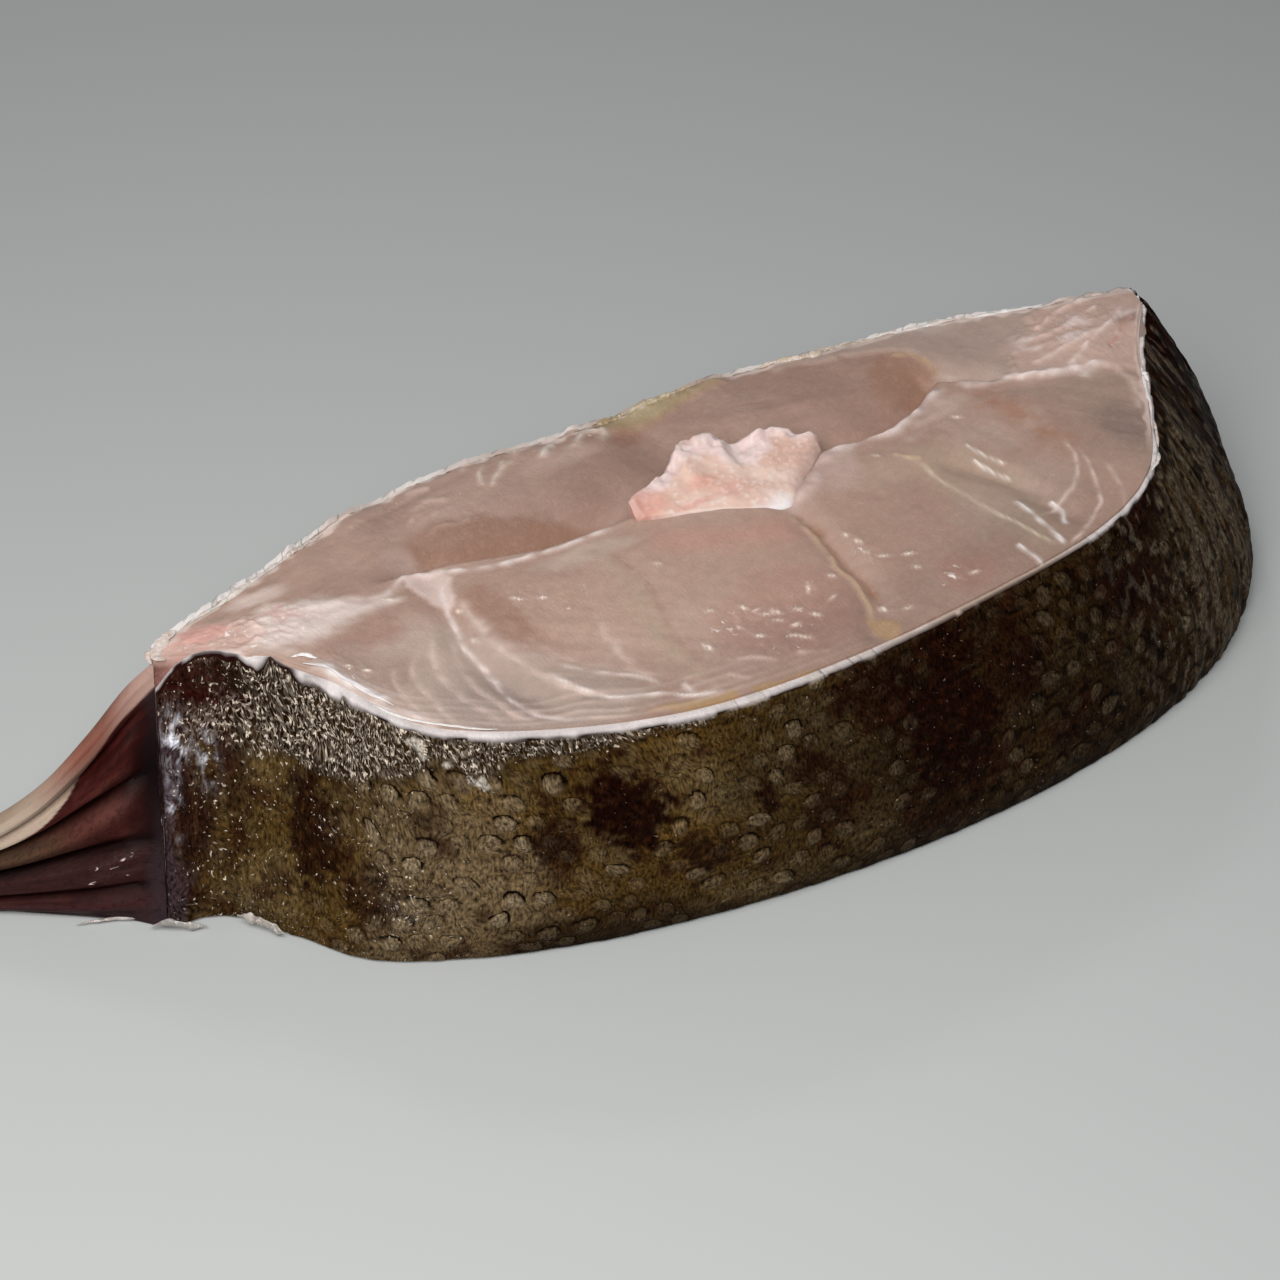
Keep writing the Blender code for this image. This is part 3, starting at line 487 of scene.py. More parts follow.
# Lines on the upper cut: path, half width, colour, strength, and height of the ridge or depth of the groove
FLESH_LINES = (
    (((45, -6), (50, -2.6), (56, -3.6), (62, -7), (70.4, -9.4), (82.8, -10), (95.7, -10)), 0.75, MEMBRANE,
     0.95, 0.35),
    (((28.9, -3.2), (37.6, -4.3), (44, -6), (50, -3)), 1.2, MEMBRANE, 0.55, 0.15),
    (((57.7, -6.2), (54.6, -12), (52.6, -18.5), (51, -26), (51, -34), (50.6, -41.8), (53.2, -50.8),
     (60, -57.5)), 0.55, MEMBRANE, 1, -0.2),
    (((56.8, -12.9), (55.6, -21), (55.8, -30), (57.6, -39), (62, -49), (70, -56)), 0.8, CLOUDY, 0.7, -0.2),
    (((49.8, -22.9), (47.8, -30), (46.8, -38.8), (48.4, -46.5), (52, -54)), 0.7, CLOUDY, 0.65, -0.2),
    (((47.1, -21.3), (43.9, -27.7), (42.9, -36.5), (43.9, -43.8), (47, -52)), 0.7, CLOUDY, 0.55, -0.2),
    (((42.3, -24), (39.1, -30.3), (38.6, -38), (39.6, -46), (43, -51)), 0.7, CLOUDY, 0.5, -0.15),
    (((36.3, -25.9), (34.4, -32.9), (34.6, -39.5), (36, -46)), 0.6, CLOUDY, 0.4, -0.15),
    (((61, -30), (63, -37), (67, -43), (73, -49), (78, -55)), 0.5, CLOUDY, 0.3, -0.1),
    (((23, -17), (25.6, -20), (27.6, -26.5), (31.5, -35.5)), 1.3, (238, 232, 230), 1, 0.8),
    (((24, -23), (26.5, -30), (31, -38), (38, -45.5)), 1.1, MEMBRANE, 0.8, 0.3),
    (((86, -12.2), (86, -18.1), (86.4, -26.1), (84.4, -34.8), (82.8, -46.5), (83.4, -57), (88, -64.5)), 2.3,
     (172, 152, 135), 0.85, 0.1),
    (((88.8, -14.2), (88.8, -22.1), (88.9, -28.1), (87.2, -36.8), (85.8, -46.5), (87.4, -56)), 0.9,
     (158, 122, 110), 0.35, -0.1),
    (((75.7, -31.3), (75, -39.3), (74.2, -49.8), (75.5, -54)), 0.7, CLOUDY, 0.55, -0.12),
    (((59.3, -41.4), (62, -47), (66, -53), (72, -57), (79, -60.3), (86, -62.8)), 0.5, (234, 226, 222), 0.9,
     0.2),
    (((62.3, -40.5), (67.2, -46), (72.7, -50.6), (76.1, -55.7)), 0.45, MEMBRANE, 0.65, 0.1),
    (((79.7, -56.6), (80.4, -60.7)), 0.6, MEMBRANE, 0.7, 0.1),
    (((89.6, -55), (98.2, -61.3)), 0.45, CLOUDY, 0.7, 0.15),
    (((87.4, -58.7), (91.3, -62.9)), 0.45, CLOUDY, 0.5, 0.1),
    (((102, -60.5), (107.8, -63.3)), 0.5, CLOUDY, 0.5, 0.15),
    (((123.2, -22.6), (124.5, -27.3), (124, -32.4), (123.4, -38.2), (122.6, -43.7), (123.4, -48.7),
     (121.8, -55.8), (119, -63.4)), 0.7, (200, 174, 144), 0.6, 0.5),
    # The brown groove line next is a painted shadow beside the yellowish seam ridge above it
    (((125, -23.5), (126.3, -28.3), (125.8, -33.4), (125.2, -39.2), (124.5, -44.7), (125.3, -49.7),
     (123.8, -56.8)), 0.8, (142, 100, 76), 0.7, -0.3),
    (((142.1, -8.9), (149.3, -10), (156, -11), (163, -9.6), (169, -7), (175, -4.2), (178.5, -4.6)), 1.2,
     MEMBRANE, 0.85, 0.6),
    (((158, -14), (165, -12.6), (171, -10.4), (176.5, -8)), 2.2, CLOUDY, 0.45, 0.2),
    (((123.5, -24.6), (130, -20.8), (136, -16.2), (141.5, -11.6), (144.5, -9.2)), 1.8, (204, 182, 176),
     0.85, 0.5),
    (((180, -3.2), (182.6, -7.2), (188.8, -8.2), (193, -10), (202.7, -13.1), (209.4, -14.6), (211, -18)),
     0.9, MEMBRANE, 0.9, 0.5),
    (((209, -14), (205.5, -15), (203, -16.5)), 1, MEMBRANE, 0.8, 0.4),
    (((211, -17), (212, -21.5), (209.8, -26.1), (205.5, -33)), 1, CLOUDY, 0.6, 0.2),
    (((177.6, -8.4), (182.4, -15.9), (184.4, -24.8), (185.9, -32.5), (185.4, -38.8)), 4.2, (164, 120, 98),
     0.6, -0.1),
    (((186.8, -32.4), (184, -39.8), (177.7, -46), (171.6, -49.2), (166.2, -50.2)), 0.42, CLOUDY, 0.8, 0.12),
    (((171.9, -46.8), (171.9, -50.4), (169, -55.1)), 0.5, (244, 240, 238), 1, 0.3),
    (((187.3, -35), (185.1, -43.7), (178.4, -52.5), (171.4, -58), (163.4, -61.2)), 0.42, CLOUDY, 0.85,
     0.15),
    (((189, -42.8), (186.2, -50.8), (180.7, -57.4), (174, -61.8)), 0.5, CLOUDY, 0.4, 0.1),
    (((154.4, -19), (157, -31.3), (159.2, -42.2), (161.3, -52.9), (163.2, -60.9)), 0.45, (214, 200, 178),
     0.75, 0.12),
    (((164, -43.5), (165.4, -51), (163.9, -60.9)), 0.5, (240, 236, 234), 0.95, 0.3),
    (((156.5, -55), (157.3, -61), (156.2, -64.5)), 0.45, (236, 230, 228), 0.9, 0.25),
    (((167, -23.3), (168.5, -28.3), (170.6, -33.5)), 0.36, (240, 232, 226), 0.95, 0.25),
    (((165.4, -27.6), (166.8, -32.2), (168.7, -38)), 0.36, (240, 232, 226), 0.9, 0.25),
    (((153.2, -18.2), (156.8, -23.1)), 0.6, (212, 190, 152), 0.8, 0.2),
    (((78.6, 18.4), (81, 22), (83.9, 26.6)), 0.7, (206, 190, 180), 0.8, 0.4),
    (((80.4, 17.3), (84, 21), (87.2, 25.4)), 0.7, (206, 190, 180), 0.8, 0.4),
    (((84.9, 21.5), (88.5, 24.4), (92.2, 28.4)), 0.7, (200, 184, 172), 0.7, 0.4),
    (((70.6, 24.8), (65.6, 26.1)), 0.8, CLOUDY, 0.6, 0.3),
    (((60.4, 15.6), (64.3, 19.7), (68.4, 20.4), (71.7, 17.7)), 0.8, LIGHT_FLESH, 0.8, 0.35),
    (((65.2, 15.6), (69, 16.1), (71.9, 12.8), (71.7, 8.9)), 0.8, LIGHT_FLESH, 0.6, 0.3),
    (((62.8, 9.5), (65, 12), (68.9, 10.6), (72.4, 10.1)), 0.8, LIGHT_FLESH, 0.5, 0.3),
    (((94.1, 22.1), (97.4, 25.4), (99.7, 25.6)), 0.9, (204, 194, 186), 0.85, 0.6),
    (((101.8, 22), (105.2, 24.9), (108.4, 25.7), (110.5, 23.4), (107.3, 21.2)), 0.9, (204, 194, 186), 0.9,
     0.6),
    (((176, 25.6), (186, 23.8), (196, 20), (205, 16), (213, 12.6)), 1.1, (232, 228, 226), 0.85, 0.5),
    (((154, 28.6), (164, 27.6), (172, 26)), 0.9, (214, 202, 192), 0.8, 0.4),
    (((176, 14.2), (179.4, 9.9), (179.9, 6), (179.9, 2.4)), 0.7, (184, 158, 120), 0.6, 0.3),
    (((14.5, -0.1), (18.2, 0.9), (20.9, -3.2), (20.2, -6.2), (15.9, -6.9)), 0.6, (226, 200, 192), 0.7, 0.3),
    (((197.1, -7.4), (204.6, -6.3), (217.2, -4.5)), 1, (232, 212, 204), 0.7, 0.5),
    (((202.5, -12.8), (212.7, -7.4), (220, -3.6), (227.4, 1)), 0.9, (232, 214, 208), 0.7, 0.5),
    (((201.5, 0.4), (210, 0.6), (218, 2), (224, 4)), 0.9, (228, 204, 196), 0.6, 0.5),
    (((205, 4), (214, 6), (224, 8)), 0.8, (228, 204, 196), 0.6, 0.5),
    (((214, -12), (220, -8), (226, -3.4)), 0.8, (196, 150, 138), 0.6, -0.3),
)

# Short painted highlights of wet light: middle, length, direction in degrees
GLINTS = (
    (100.9, -44.4, 1.6, -70), (102.6, -46.2, 1.2, 10), (103.6, -48.2, 1.6, -30), (105.6, -48.7, 1.8, -60),
    (104.6, -50.9, 1.8, -40), (114.4, -46, 2.2, 60), (106.6, -53.5, 1.6, 0), (104.6, -55.9, 1.8, -30),
    (105.9, -57.3, 2.4, -45), (89.1, -50.8, 2, -80), (94, -24.9, 1.2, -60), (109.5, -50, 1.4, -20),
    (111.5, -53, 1.6, -50), (97, -49, 1.4, -60), (95, -42, 1.3, -40), (99, -53, 1.5, -30),
    (117, -50.5, 1.6, 20), (130, -35.7, 1.4, -70), (130.9, -38.6, 1.6, -60), (130.4, -42.1, 1.8, -60),
    (132.5, -44.8, 2.2, -30), (137, -46.8, 1.8, -20), (140.3, -57, 2.2, -60), (144.5, -58, 1.8, -10),
    (123.7, -57.3, 1.6, -70), (127.4, -60.2, 1.8, -20), (29.7, -22, 1, -40), (32.2, -24.8, 1.2, -40),
    (65.5, -20, 1.6, -50), (70, -22.5, 1.3, -40), (54.8, -17.5, 1.4, -80), (53.2, -26.5, 1.6, -80),
    (150.3, -16.9, 1.2, -60), (172, -14.5, 1.6, -40), (20, -3, 1.4, -60), (17, -8, 1.2, -20),
    (45, -8, 1.6, -40), (11, -3, 1.2, -10), (136, -51, 1.4, -40), (120.5, -45, 1.4, -50),
)

# Places where the wet surface is finely wrinkled: middle, half widths, strength
WRINKLES = (
    ((101.5, -47.8), (9, 4.5), 0.5), ((114, -48), (5, 4), 0.42), ((103, -56.5), (10, 4), 0.42),
    ((130.5, -41), (3.5, 6.5), 0.45), ((141, -57), (4.5, 3.5), 0.45), ((28, -25), (5, 8), 0.3),
    ((168, -14), (8, 5), 0.22), ((214, -4), (14, 10), 0.38), ((18, -3), (18, 7), 0.5),
    ((60, 20), (18, 7), 0.25), ((70, -24), (9, 8), 0.2), ((105, 24), (12, 4), 0.3),
    ((126, 28.5), (12, 3), 0.45), ((6, 1), (8, 3), 0.5),
)

# Where the fibres lie nearly flat in the cut: middle, half widths, their direction, seed
FIBRE_RUNS = (
    ((203, -26), (19, 20), -50, 410), ((160, 25), (24, 6), -8, 420), ((70, 22), (30, 8), 12, 430),
    ((30, 6), (26, 9), 20, 440), ((150, 10), (24, 10), -14, 450), ((172, -34), (12, 18), -66, 460),
    ((70, -44), (26, 18), -35, 470),
)

RIM_LINES = ((1.6, 0.5), (3.4, 0.35), (5.6, 0.3), (8, 0.22))  # distance behind the rim, strength
PALE_EDGE_WIDTH = ((140, 1.8), (170, 2.8))  # along X
GLINT_STRENGTHS = (0.9, 0.5, 0.7)  # taken in turn

# Smears of torn tissue: middle, half widths, squash, direction, size, seeds, rise, and their coats: colour,
# gain, threshold, strength
SMEARS = (
    ((214, -1), (18, 8), 0.5, -62, 3.4, (630, 640), 0.4, (((226, 212, 208), 2.4, 0.2, 0.75),)),
    ((16, -3), (15, 7), 0.45, 24, 3, (670, 671), 0.45,
     (((232, 216, 210), 2.6, 0.3, 0.7), ((206, 152, 144), -2.6, 0.4, 0.5))),
)


def flesh_places():
    """Places of the flesh's grid, and for its upper cut the distance behind the white line."""
    rows = NEAR_ROWS + FAR_ROWS
    even = np.linspace(0.0, 1.0, rows + 1)
    usual = NEAR_ROWS / rows
    along = np.linspace(0.0, 1.0, FLESH_COLUMNS + 1)
    fade = smooth_step(np.minimum(along, 1.0 - along) / LINE_FADE)
    layers = []
    for level in DRESSED_LEVELS:
        edges = flesh_edges(level, FLESH_COLUMNS, rows, FLESH_CLEARANCE)
        near, far = edges[0], edges[2][::-1]
        middle = at(SEPTUM, 0.5 * (near[:, 0] + far[:, 0]))
        line = (middle - near[:, 1]) / (far[:, 1] - near[:, 1])
        line = usual + (np.clip(line, *LINE_LIMITS) - usual) * fade
        shares = np.array([np.interp(even, (0.0, usual, 1.0), (0.0, share, 1.0)) for share in line])
        layers.append(filled(*edges, shares))
    places = np.stack(layers, axis=2)
    top = places[:, :, -1]
    away = np.linalg.norm(top[:, :, :2] - top[:, NEAR_ROWS : NEAR_ROWS + 1, :2], axis=2)
    behind = np.where(np.arange(rows + 1) >= NEAR_ROWS, away, -away)
    return places, behind


def cut_height(x, y, near_height, far_height, behind):
    """Heights of the upper cut."""
    start, full, fading, end = STEP_REACH
    reach = smooth_step((x - start) / (full - start)) * smooth_step((end - x) / (end - fading))
    part = np.clip(behind / behind[:, -1:], 0.0, 1.0)
    drop = smooth_step(behind / STEP_RUN)
    lobes = LOBE_CROWN * (1.0 - bump(x, *LOBE_VALLEY)) * np.sin(math.pi * part) ** LOBE_FULLNESS
    hollow = HOLLOW_DEPTH * bump(behind, STEP_RUN, HOLLOW_WIDTH)
    stepped = near_height * (1.0 - drop) + (far_height + lobes - hollow) * drop
    sloping = near_height + (far_height - near_height) * part
    height = stepped * reach + sloping * (1.0 - reach)
    height += MUSCLE_CROWN * smooth_step(-behind / CROWN_RUN)
    cling = near_path(x, y, smooth_curve(BONE_FAR, TRACE))[0]
    height += COLLAR_RISE * drop * bump(cling, 0.0, COLLAR_WIDTH)
    (lump_x, lump_y), (half_x, half_y), rise = CORNER_LUMP
    height += rise * bump(x, lump_x, half_x) * bump(y, lump_y, half_y)
    for seam in SEAMS:
        height -= SEAM_DEPTH * bump(near_path(x, y, smooth_curve(seam, TRACE))[0], 0.0, SEAM_WIDTH)
    return height


def region(x, y, outline, fade, seed):
    """A patch with a given outline, from 0 to 1, its edge uneven and fading over `fade` millimetres."""
    outline = smooth_curve((*outline, outline[0]), 4 * len(outline) + 1)
    away = np.abs(near_path(x, y, outline)[0])
    within = np.zeros(x.shape, bool)
    for start, end in zip(outline[:-1], outline[1:]):
        if start[1] == end[1]:
            continue
        crossed = (start[1] > y) != (end[1] > y)
        within ^= crossed & (x < start[0] + (y - start[1]) * (end[0] - start[0]) / (end[1] - start[1]))
    ragged = 0.25 * fade * layered(x, y, 4.0, seed) + 0.5 * patches(x, y, 1.6, seed + 1)
    return smooth_step(0.5 + (np.where(within, away, -away) + ragged) / fade)


def around(x, y, path, reach):
    """Which spots may lie within reach of a path."""
    low, high = np.min(path, axis=0) - reach, np.max(path, axis=0) + reach
    return (x > low[0]) & (x < high[0]) & (y > low[1]) & (y < high[1])


def patch_mask(x, y, middle, halves, seed):
    """A soft patch with an uneven edge, from 0 to 1."""
    return smooth_step(1.5 - 1.1 * oval(x, y, middle, halves) + 0.35 * layered(x, y, 5.0, seed))


def cut_fields(places, behind):
    """The upper cut's spots, their way from its rims, and room for its colours, relief and wetness."""
    top = places[:, :, -1]
    x, y = top[:, :, 0], top[:, :, 1]
    return SimpleNamespace(
        top=top, x=x, y=y, behind=behind,
        rim_near=np.linalg.norm(top[:, :, :2] - top[:, :1, :2], axis=2),
        rim_far=np.linalg.norm(top[:, :, :2] - top[:, -1:, :2], axis=2),
        drift_x=x + 0.8 * patches(x, y, 7.0, 5) + 0.25 * patches(x, y, 2.0, 6),
        drift_y=y + 0.8 * patches(x, y, 7.0, 7) + 0.25 * patches(x, y, 2.0, 8),
        colours=coated(x.shape, WET_FLESH), relief=np.zeros(x.shape), wet=np.zeros(x.shape),
    )


def paint_muscle(cut):
    """Another shade behind the white line, and broad lighter and deeper clouds all over."""
    paint(cut.colours, FAR_FLESH, smooth_step(cut.behind / 1.5) * smooth_step((cut.x - 45.0) / 12.0))
    broad = layered(cut.x, cut.y, 26.0, 11)
    for shade, cloud in ((LIGHT_FLESH, broad), (DEEP_FLESH, -broad)):
        paint(cut.colours, shade, 0.9 * np.clip(cloud, 0.0, 1.0))


def add_regions(cut):
    """Outlined blocks and hazy places, and painted shade over the near side's slope down to its rim."""
    x, y = cut.drift_x, cut.drift_y
    for number, (outline, shade, strength, fade, rise) in enumerate(FLESH_REGIONS):
        spots = around(x, y, outline, 2.0 * fade + 2.0)
        mask = region(x[spots], y[spots], outline, fade, 40 + 3 * number)
        cut.colours[spots] = blended(cut.colours[spots], tone(shade), mask * strength)
        cut.relief[spots] += rise * mask
    for number, (middle, halves, shade, strength) in enumerate(FLESH_PATCHES):
        paint(cut.colours, shade, strength * patch_mask(x, y, middle, halves, 160 + 3 * number))
    # Painted shade: darker over the near side's slope down to its rim
    ends = smooth_step((cut.x - 32.0) / 10.0) * smooth_step((190.0 - cut.x) / 25.0)
    cut.colours *= (1.0 - 0.2 * smooth_step((22.0 - cut.rim_near) / 14.0) * ends)[..., None]


def add_lines(cut):
    """Membranes and grooves between the blocks of muscle."""
    for number, (path, width, shade, strength, rise) in enumerate(FLESH_LINES):
        path = smooth_curve(path, 5 * len(path))
        spots = around(cut.drift_x, cut.drift_y, path, 4.0 * width)
        off, place = near_path(cut.drift_x[spots], cut.drift_y[spots], path)
        ends = smooth_step(place / 0.1) * smooth_step((1.0 - place) / 0.14)
        patchy = np.clip(0.8 + 0.7 * patches(cut.x[spots], cut.y[spots], 2.2, 200 + number), 0.15, 1.15)
        line = np.exp(-np.abs(off / width) ** 1.8) * ends * patchy
        cut.colours[spots] = blended(cut.colours[spots], tone(shade), line * strength)
        cut.relief[spots] += rise * line


def add_rims(cut):
    """Fine pale lines that follow the dark skin's rim, and the pale edges at the blunt end and far side."""
    x, y = cut.x, cut.y
    wavering = cut.rim_near + 0.7 * patches(x, y, 9.0, 300)
    for depth, strength in RIM_LINES:
        line = bump(wavering, depth, 0.5) * bump(x, 62.0, 34.0) * (0.7 + 0.5 * patches(x, y, 4.0, 301))
        paint(cut.colours, CLOUDY, 1.4 * strength * line)
        cut.relief += 0.12 * line
    corner = smooth_step((2.6 - cut.rim_near + patches(x, y, 2.0, 302)) / 1.2)
    paint(cut.colours, CLOUDY, 0.8 * corner * smooth_step((x - 196.0) / 10.0))
    width = at(PALE_EDGE_WIDTH, x) + 1.4 * patches(x, y, 2.5, 303)
    paint(cut.colours, PALE_EDGE, 0.8 * smooth_step((width - cut.rim_far) / 1.3))


def add_fibres(cut):
    """Muscle fibres: their ends all over, and their run where they lie nearly flat."""
    x, y = cut.x, cut.y
    stretch_x, stretch_y = turned(x, y, 20.0)
    ends = 0.035 * patches(stretch_x * 0.45, stretch_y, 0.9, 400) + 0.03 * patches(x, y, 1.6, 401)
    cut.colours *= (1.0 + ends)[..., None]
    for middle, halves, degrees, seed in FIBRE_RUNS:
        run_x, run_y = turned(x + 1.5 * patches(x, y, 14.0, seed), y, degrees)
        lines = layered(run_x * 0.09, run_y, 1.9, seed + 1) * patch_mask(x, y, middle, halves, seed + 2)
        cut.colours *= (1.0 + 0.11 * lines)[..., None]
        cut.relief += 0.12 * lines


def add_wetness(cut):
    """Finely wrinkled wet places, and short painted highlights of wet light."""
    x, y = cut.x, cut.y
    for number, (middle, halves, strength) in enumerate(WRINKLES):
        cut.wet = np.maximum(cut.wet, strength * patch_mask(x, y, middle, halves, 500 + 3 * number))
    ridges = 1.0 - np.abs(patches(*turned(x * 1.3, y * 0.6, -40.0), 1.6, 600))
    cut.relief += cut.wet * 0.5 * (ridges - 0.6)
    for number, (spot_x, spot_y, length, degrees) in enumerate(GLINTS):
        off_x, off_y = turned(x - spot_x, y - spot_y, degrees)
        width = 0.6 + 0.05 * (number % 5)
        cut.wet = np.maximum(cut.wet, 1.1 * np.exp(-((off_x / length) ** 2) - (off_y / width) ** 2))
        heart = np.exp(-((off_x / (0.55 * length)) ** 2) - (off_y / 0.36) ** 2)
        paint(cut.colours, GLINT, heart * GLINT_STRENGTHS[number % len(GLINT_STRENGTHS)])


def add_torn_tissue(cut):
    """Wet smears at both ends and lumps on the far rim, over a gently uneven surface."""
    x, y = cut.x, cut.y
    cut.relief += 0.22 * layered(x, y, 8.0, 610) + 0.05 * patches(x, y, 1.5, 620)
    for middle, halves, squash, degrees, size, seeds, rise, coats in SMEARS:
        mask = patch_mask(x, y, middle, halves, seeds[0])
        drifts = layered(*turned(x * squash, y, degrees), size, seeds[1])
        cut.relief += mask * rise * drifts
        for shade, gain, start, strength in coats:
            paint(cut.colours, shade, mask * smooth_step(drifts * gain - start) * strength)
    mask = patch_mask(x, y, (126.0, 28.5), (13.0, 2.6), 660)
    lumps = np.abs(layered(x, y, 3.0, 661))
    cut.relief += mask * (1.6 * lumps - 0.2)
    paint(cut.colours, (196, 184, 158), mask * smooth_step(lumps * 3.0 - 0.7) * 0.7)


def painted_walls(cut):
    """The upper cut's colours carried down through the slice, with the bare wall at the fin end painted dark,
    partly as painted shade.
    """
    through = np.repeat(cut.colours[:, :, None], len(DRESSED_LEVELS), axis=2)
    # Dark maroon on the bare wall at the fin end: partly the skin's own colour round the end, partly painted
    # shade in the hollow by the fin root
    through[:4, :, :-3] = tone((34, 12, 12))
    corner = through[:24, 0, :-1]
    mottle = smooth_step(0.5 + patches(cut.x[:24, :1], np.zeros((24, 1)), 1.5, 680))
    corner[:] = blended(tone((96, 52, 44)), tone((150, 116, 106)), mottle)
    through[:4, 1:, -3:-1] = tone((158, 122, 112))
    return through


def dress_flesh():
    """The whole slice of muscle. Also gives the places of its upper cut."""
    places, behind = flesh_places()
    cut = cut_fields(places, behind)
    top = cut.top
    z = cut_height(cut.x, cut.y, top[:, :1, 2], top[:, -1:, 2], behind)
    for add_to in (paint_muscle, add_regions, add_lines, add_rims, add_fibres, add_wetness, add_torn_tissue):
        add_to(cut)
    calm = smooth_step(cut.rim_near / 1.5) * smooth_step(cut.rim_far / 1.5)
    top[:, :, 2] = z + cut.relief * (0.25 + 0.75 * calm)
    top[:, -1, 2] += 0.5 * patches(cut.x[:, -1], cut.y[:, -1], 2.2, 650)
    places[:, :, 0, 2] += FOOT_LIFT
    tint, wet = painted_walls(cut), np.clip(cut.wet, 0.0, 1.0)[:, :, None]
    flesh = finish_piece("dressed_flesh", places, tint, wet, wet_flesh_material(), flat_foot=True)
    return flesh, top.reshape(-1, 3)


# ---- Loose membranes ----

# Strands on the flesh, or where heights are given at its rims and foot: path, half width, thickness, colour
STRANDS = (
    (((7, 5, 50), (4, 3.2, 50.2), (1.8, 1.2, 50), (1, -0.6, 50), (2, -2.4, 50.2)), 1.7, 0.5,
     (208, 192, 184)),
    (((0.8, 2.6, 49.5), (0, 1, 49.3), (-0.2, -0.6, 48.9)), 0.9, 0.6, (190, 172, 162)),
    (((150.5, 27.4), (156, 27), (161.6, 25), (167, 25.6), (172, 25)), 1.3, 1.6, (206, 192, 176)),
    (((178, 23.2), (183, 22.2), (189, 20.6), (196, 18.6)), 1, 1.1, (216, 208, 202)),
    (((198, 17), (204, 14.6), (209, 12.6), (214, 11.2)), 0.8, 0.9, (226, 222, 220)),
    (((10, 5.8), (15, 8.2), (21, 10.6), (27, 13.6), (33, 16.2)), 0.9, 0.8, (210, 202, 194)),
    (((28, 14.2), (34, 17.2), (40, 19.6), (45, 22)), 0.7, 0.7, (198, 186, 178)),
    (((117, 27.3), (121.5, 28.4), (125.3, 28.2), (129.4, 28.8), (134, 28.6)), 1.1, 1.3, (182, 168, 136)),
    (((109.5, 27), (113, 27.8), (117.4, 27.2)), 0.9, 1, (156, 138, 98)),
    (((165.6, 24.6), (169, 25), (172.4, 24.4), (178.3, 22.8)), 0.9, 1, (190, 174, 156)),
    (((22.8, -17.6), (25.4, -20.6), (27, -25.4), (29.4, -31), (32, -36)), 0.8, 0.9, (226, 222, 224)),
    (((21.5, -15), (23.8, -15.4), (25.6, -17.4)), 0.6, 0.8, (236, 232, 232)),
    (((24.6, -24.6), (26.8, -30.6), (31.2, -38.6), (37.5, -45.4), (45, -51.2)), 0.5, 0.7, (222, 216, 214)),
    (((216.8, -19.1, 50.9), (214.3, -22.6, 51.1), (211.7, -26.9, 50.9), (208.8, -31.6, 51),
     (206.3, -35.4, 50.7)), 0.5, 0.6, (232, 226, 228)),
    (((214.9, -21, 51.2), (213.9, -23.4, 51.8), (213.4, -25.2, 51.3)), 0.7, 0.8, (240, 236, 238)),
    (((205.9, -36.2, 50.8), (203.4, -40.2, 51), (200.8, -44.2, 50.7)), 0.45, 0.6, (206, 190, 182)),
    (((199.6, -45.6, 50.7), (197.3, -48, 51.1), (194.4, -49.8, 50.6)), 0.55, 0.7, (222, 212, 208)),
    (((-13.4, -16.8, 1.2), (-11.4, -18.2, 2), (-9.6, -19.4, 2.4), (-7, -20.8, 1.6), (-4, -22.4, 0.9)), 0.7,
     2.6, (150, 150, 146)),
    (((1.6, -24, 2.6), (3.4, -26.3, 2.9), (5.4, -29, 2.6), (7.6, -32, 1.6)), 0.6, 3.4, (152, 148, 140)),
    (((-25, -8.8, 0.6), (-20.4, -10.2, 0.9), (-16, -12.2, 0.9), (-12.6, -15, 1)), 0.7, 1, (150, 146, 142)),
)


def laid_on(surface, line):
    """Give the points of a line in plan the heights of the nearest points of a surface."""
    nearest = [np.argmin(np.hypot(surface[:, 0] - x, surface[:, 1] - y)) for x, y in line]
    heights = surface[nearest, 2]
    smooth = np.convolve(np.pad(heights, 2, mode="edge"), np.full(5, 0.2), mode="valid")
    return np.column_stack([line, smooth])


def dress_strand(number, surface, path, width, thickness, shade):
    """A thin wet strand along a path, uneven in width and drawn out to its ends."""
    columns, rows = STRAND_STEPS
    line = smooth_curve(path, columns + 1)
    if line.shape[1] == 2:
        line = laid_on(surface, line)
        line[:, 2] += 0.2 * thickness
    run = np.linspace(0.0, 1.0, columns + 1)
    line[:, 1] += 0.2 * patches(line[:, 0], line[:, 1], 2.0, 1100 + number)
    way = np.gradient(line[:, :2], axis=0)
    way /= np.linalg.norm(way, axis=1)[:, None]
    sideways = np.pad(np.stack([-way[:, 1], way[:, 0]], axis=1), ((0, 0), (0, 1)))
    full = np.sin(math.pi * np.clip(run, 0.02, 0.98)) ** 0.6
    full *= 0.75 + 0.45 * patches(run * 9.0, 0.0 * run, 1.0, 1120 + number)
    across = np.linspace(-1.0, 1.0, rows + 1)
    arch = np.sqrt(np.clip(1.0 - across**2, 0.004, 1.0))
    wide = line[:, None] + sideways[:, None] * (across[None, :] * width * full[:, None])[..., None]
    x, y = wide[..., 0], wide[..., 1]
    rise = 0.5 * thickness * full[:, None] * arch * (1.0 + 0.3 * patches(x, y, 1.2, 1140))
    places = np.stack([wide, wide], axis=2)
    places[:, :, 0, 2] -= rise
    places[:, :, 1, 2] += rise
    mottle = layered(x, y, 1.6, 1160 + number)
    colours = coated(mottle.shape, shade)
    paint(colours, (240, 234, 230), 0.6 * mottle)
    colours = blended(colours, 0.82 * tone(shade), -1.4 * mottle)
    return finish_piece(
        "membrane_%02d" % number, places, colours[:, :, None], np.full((1, 1, 1), 0.8), MEMBRANE_LOOK
    )


# ---- Backbone ----

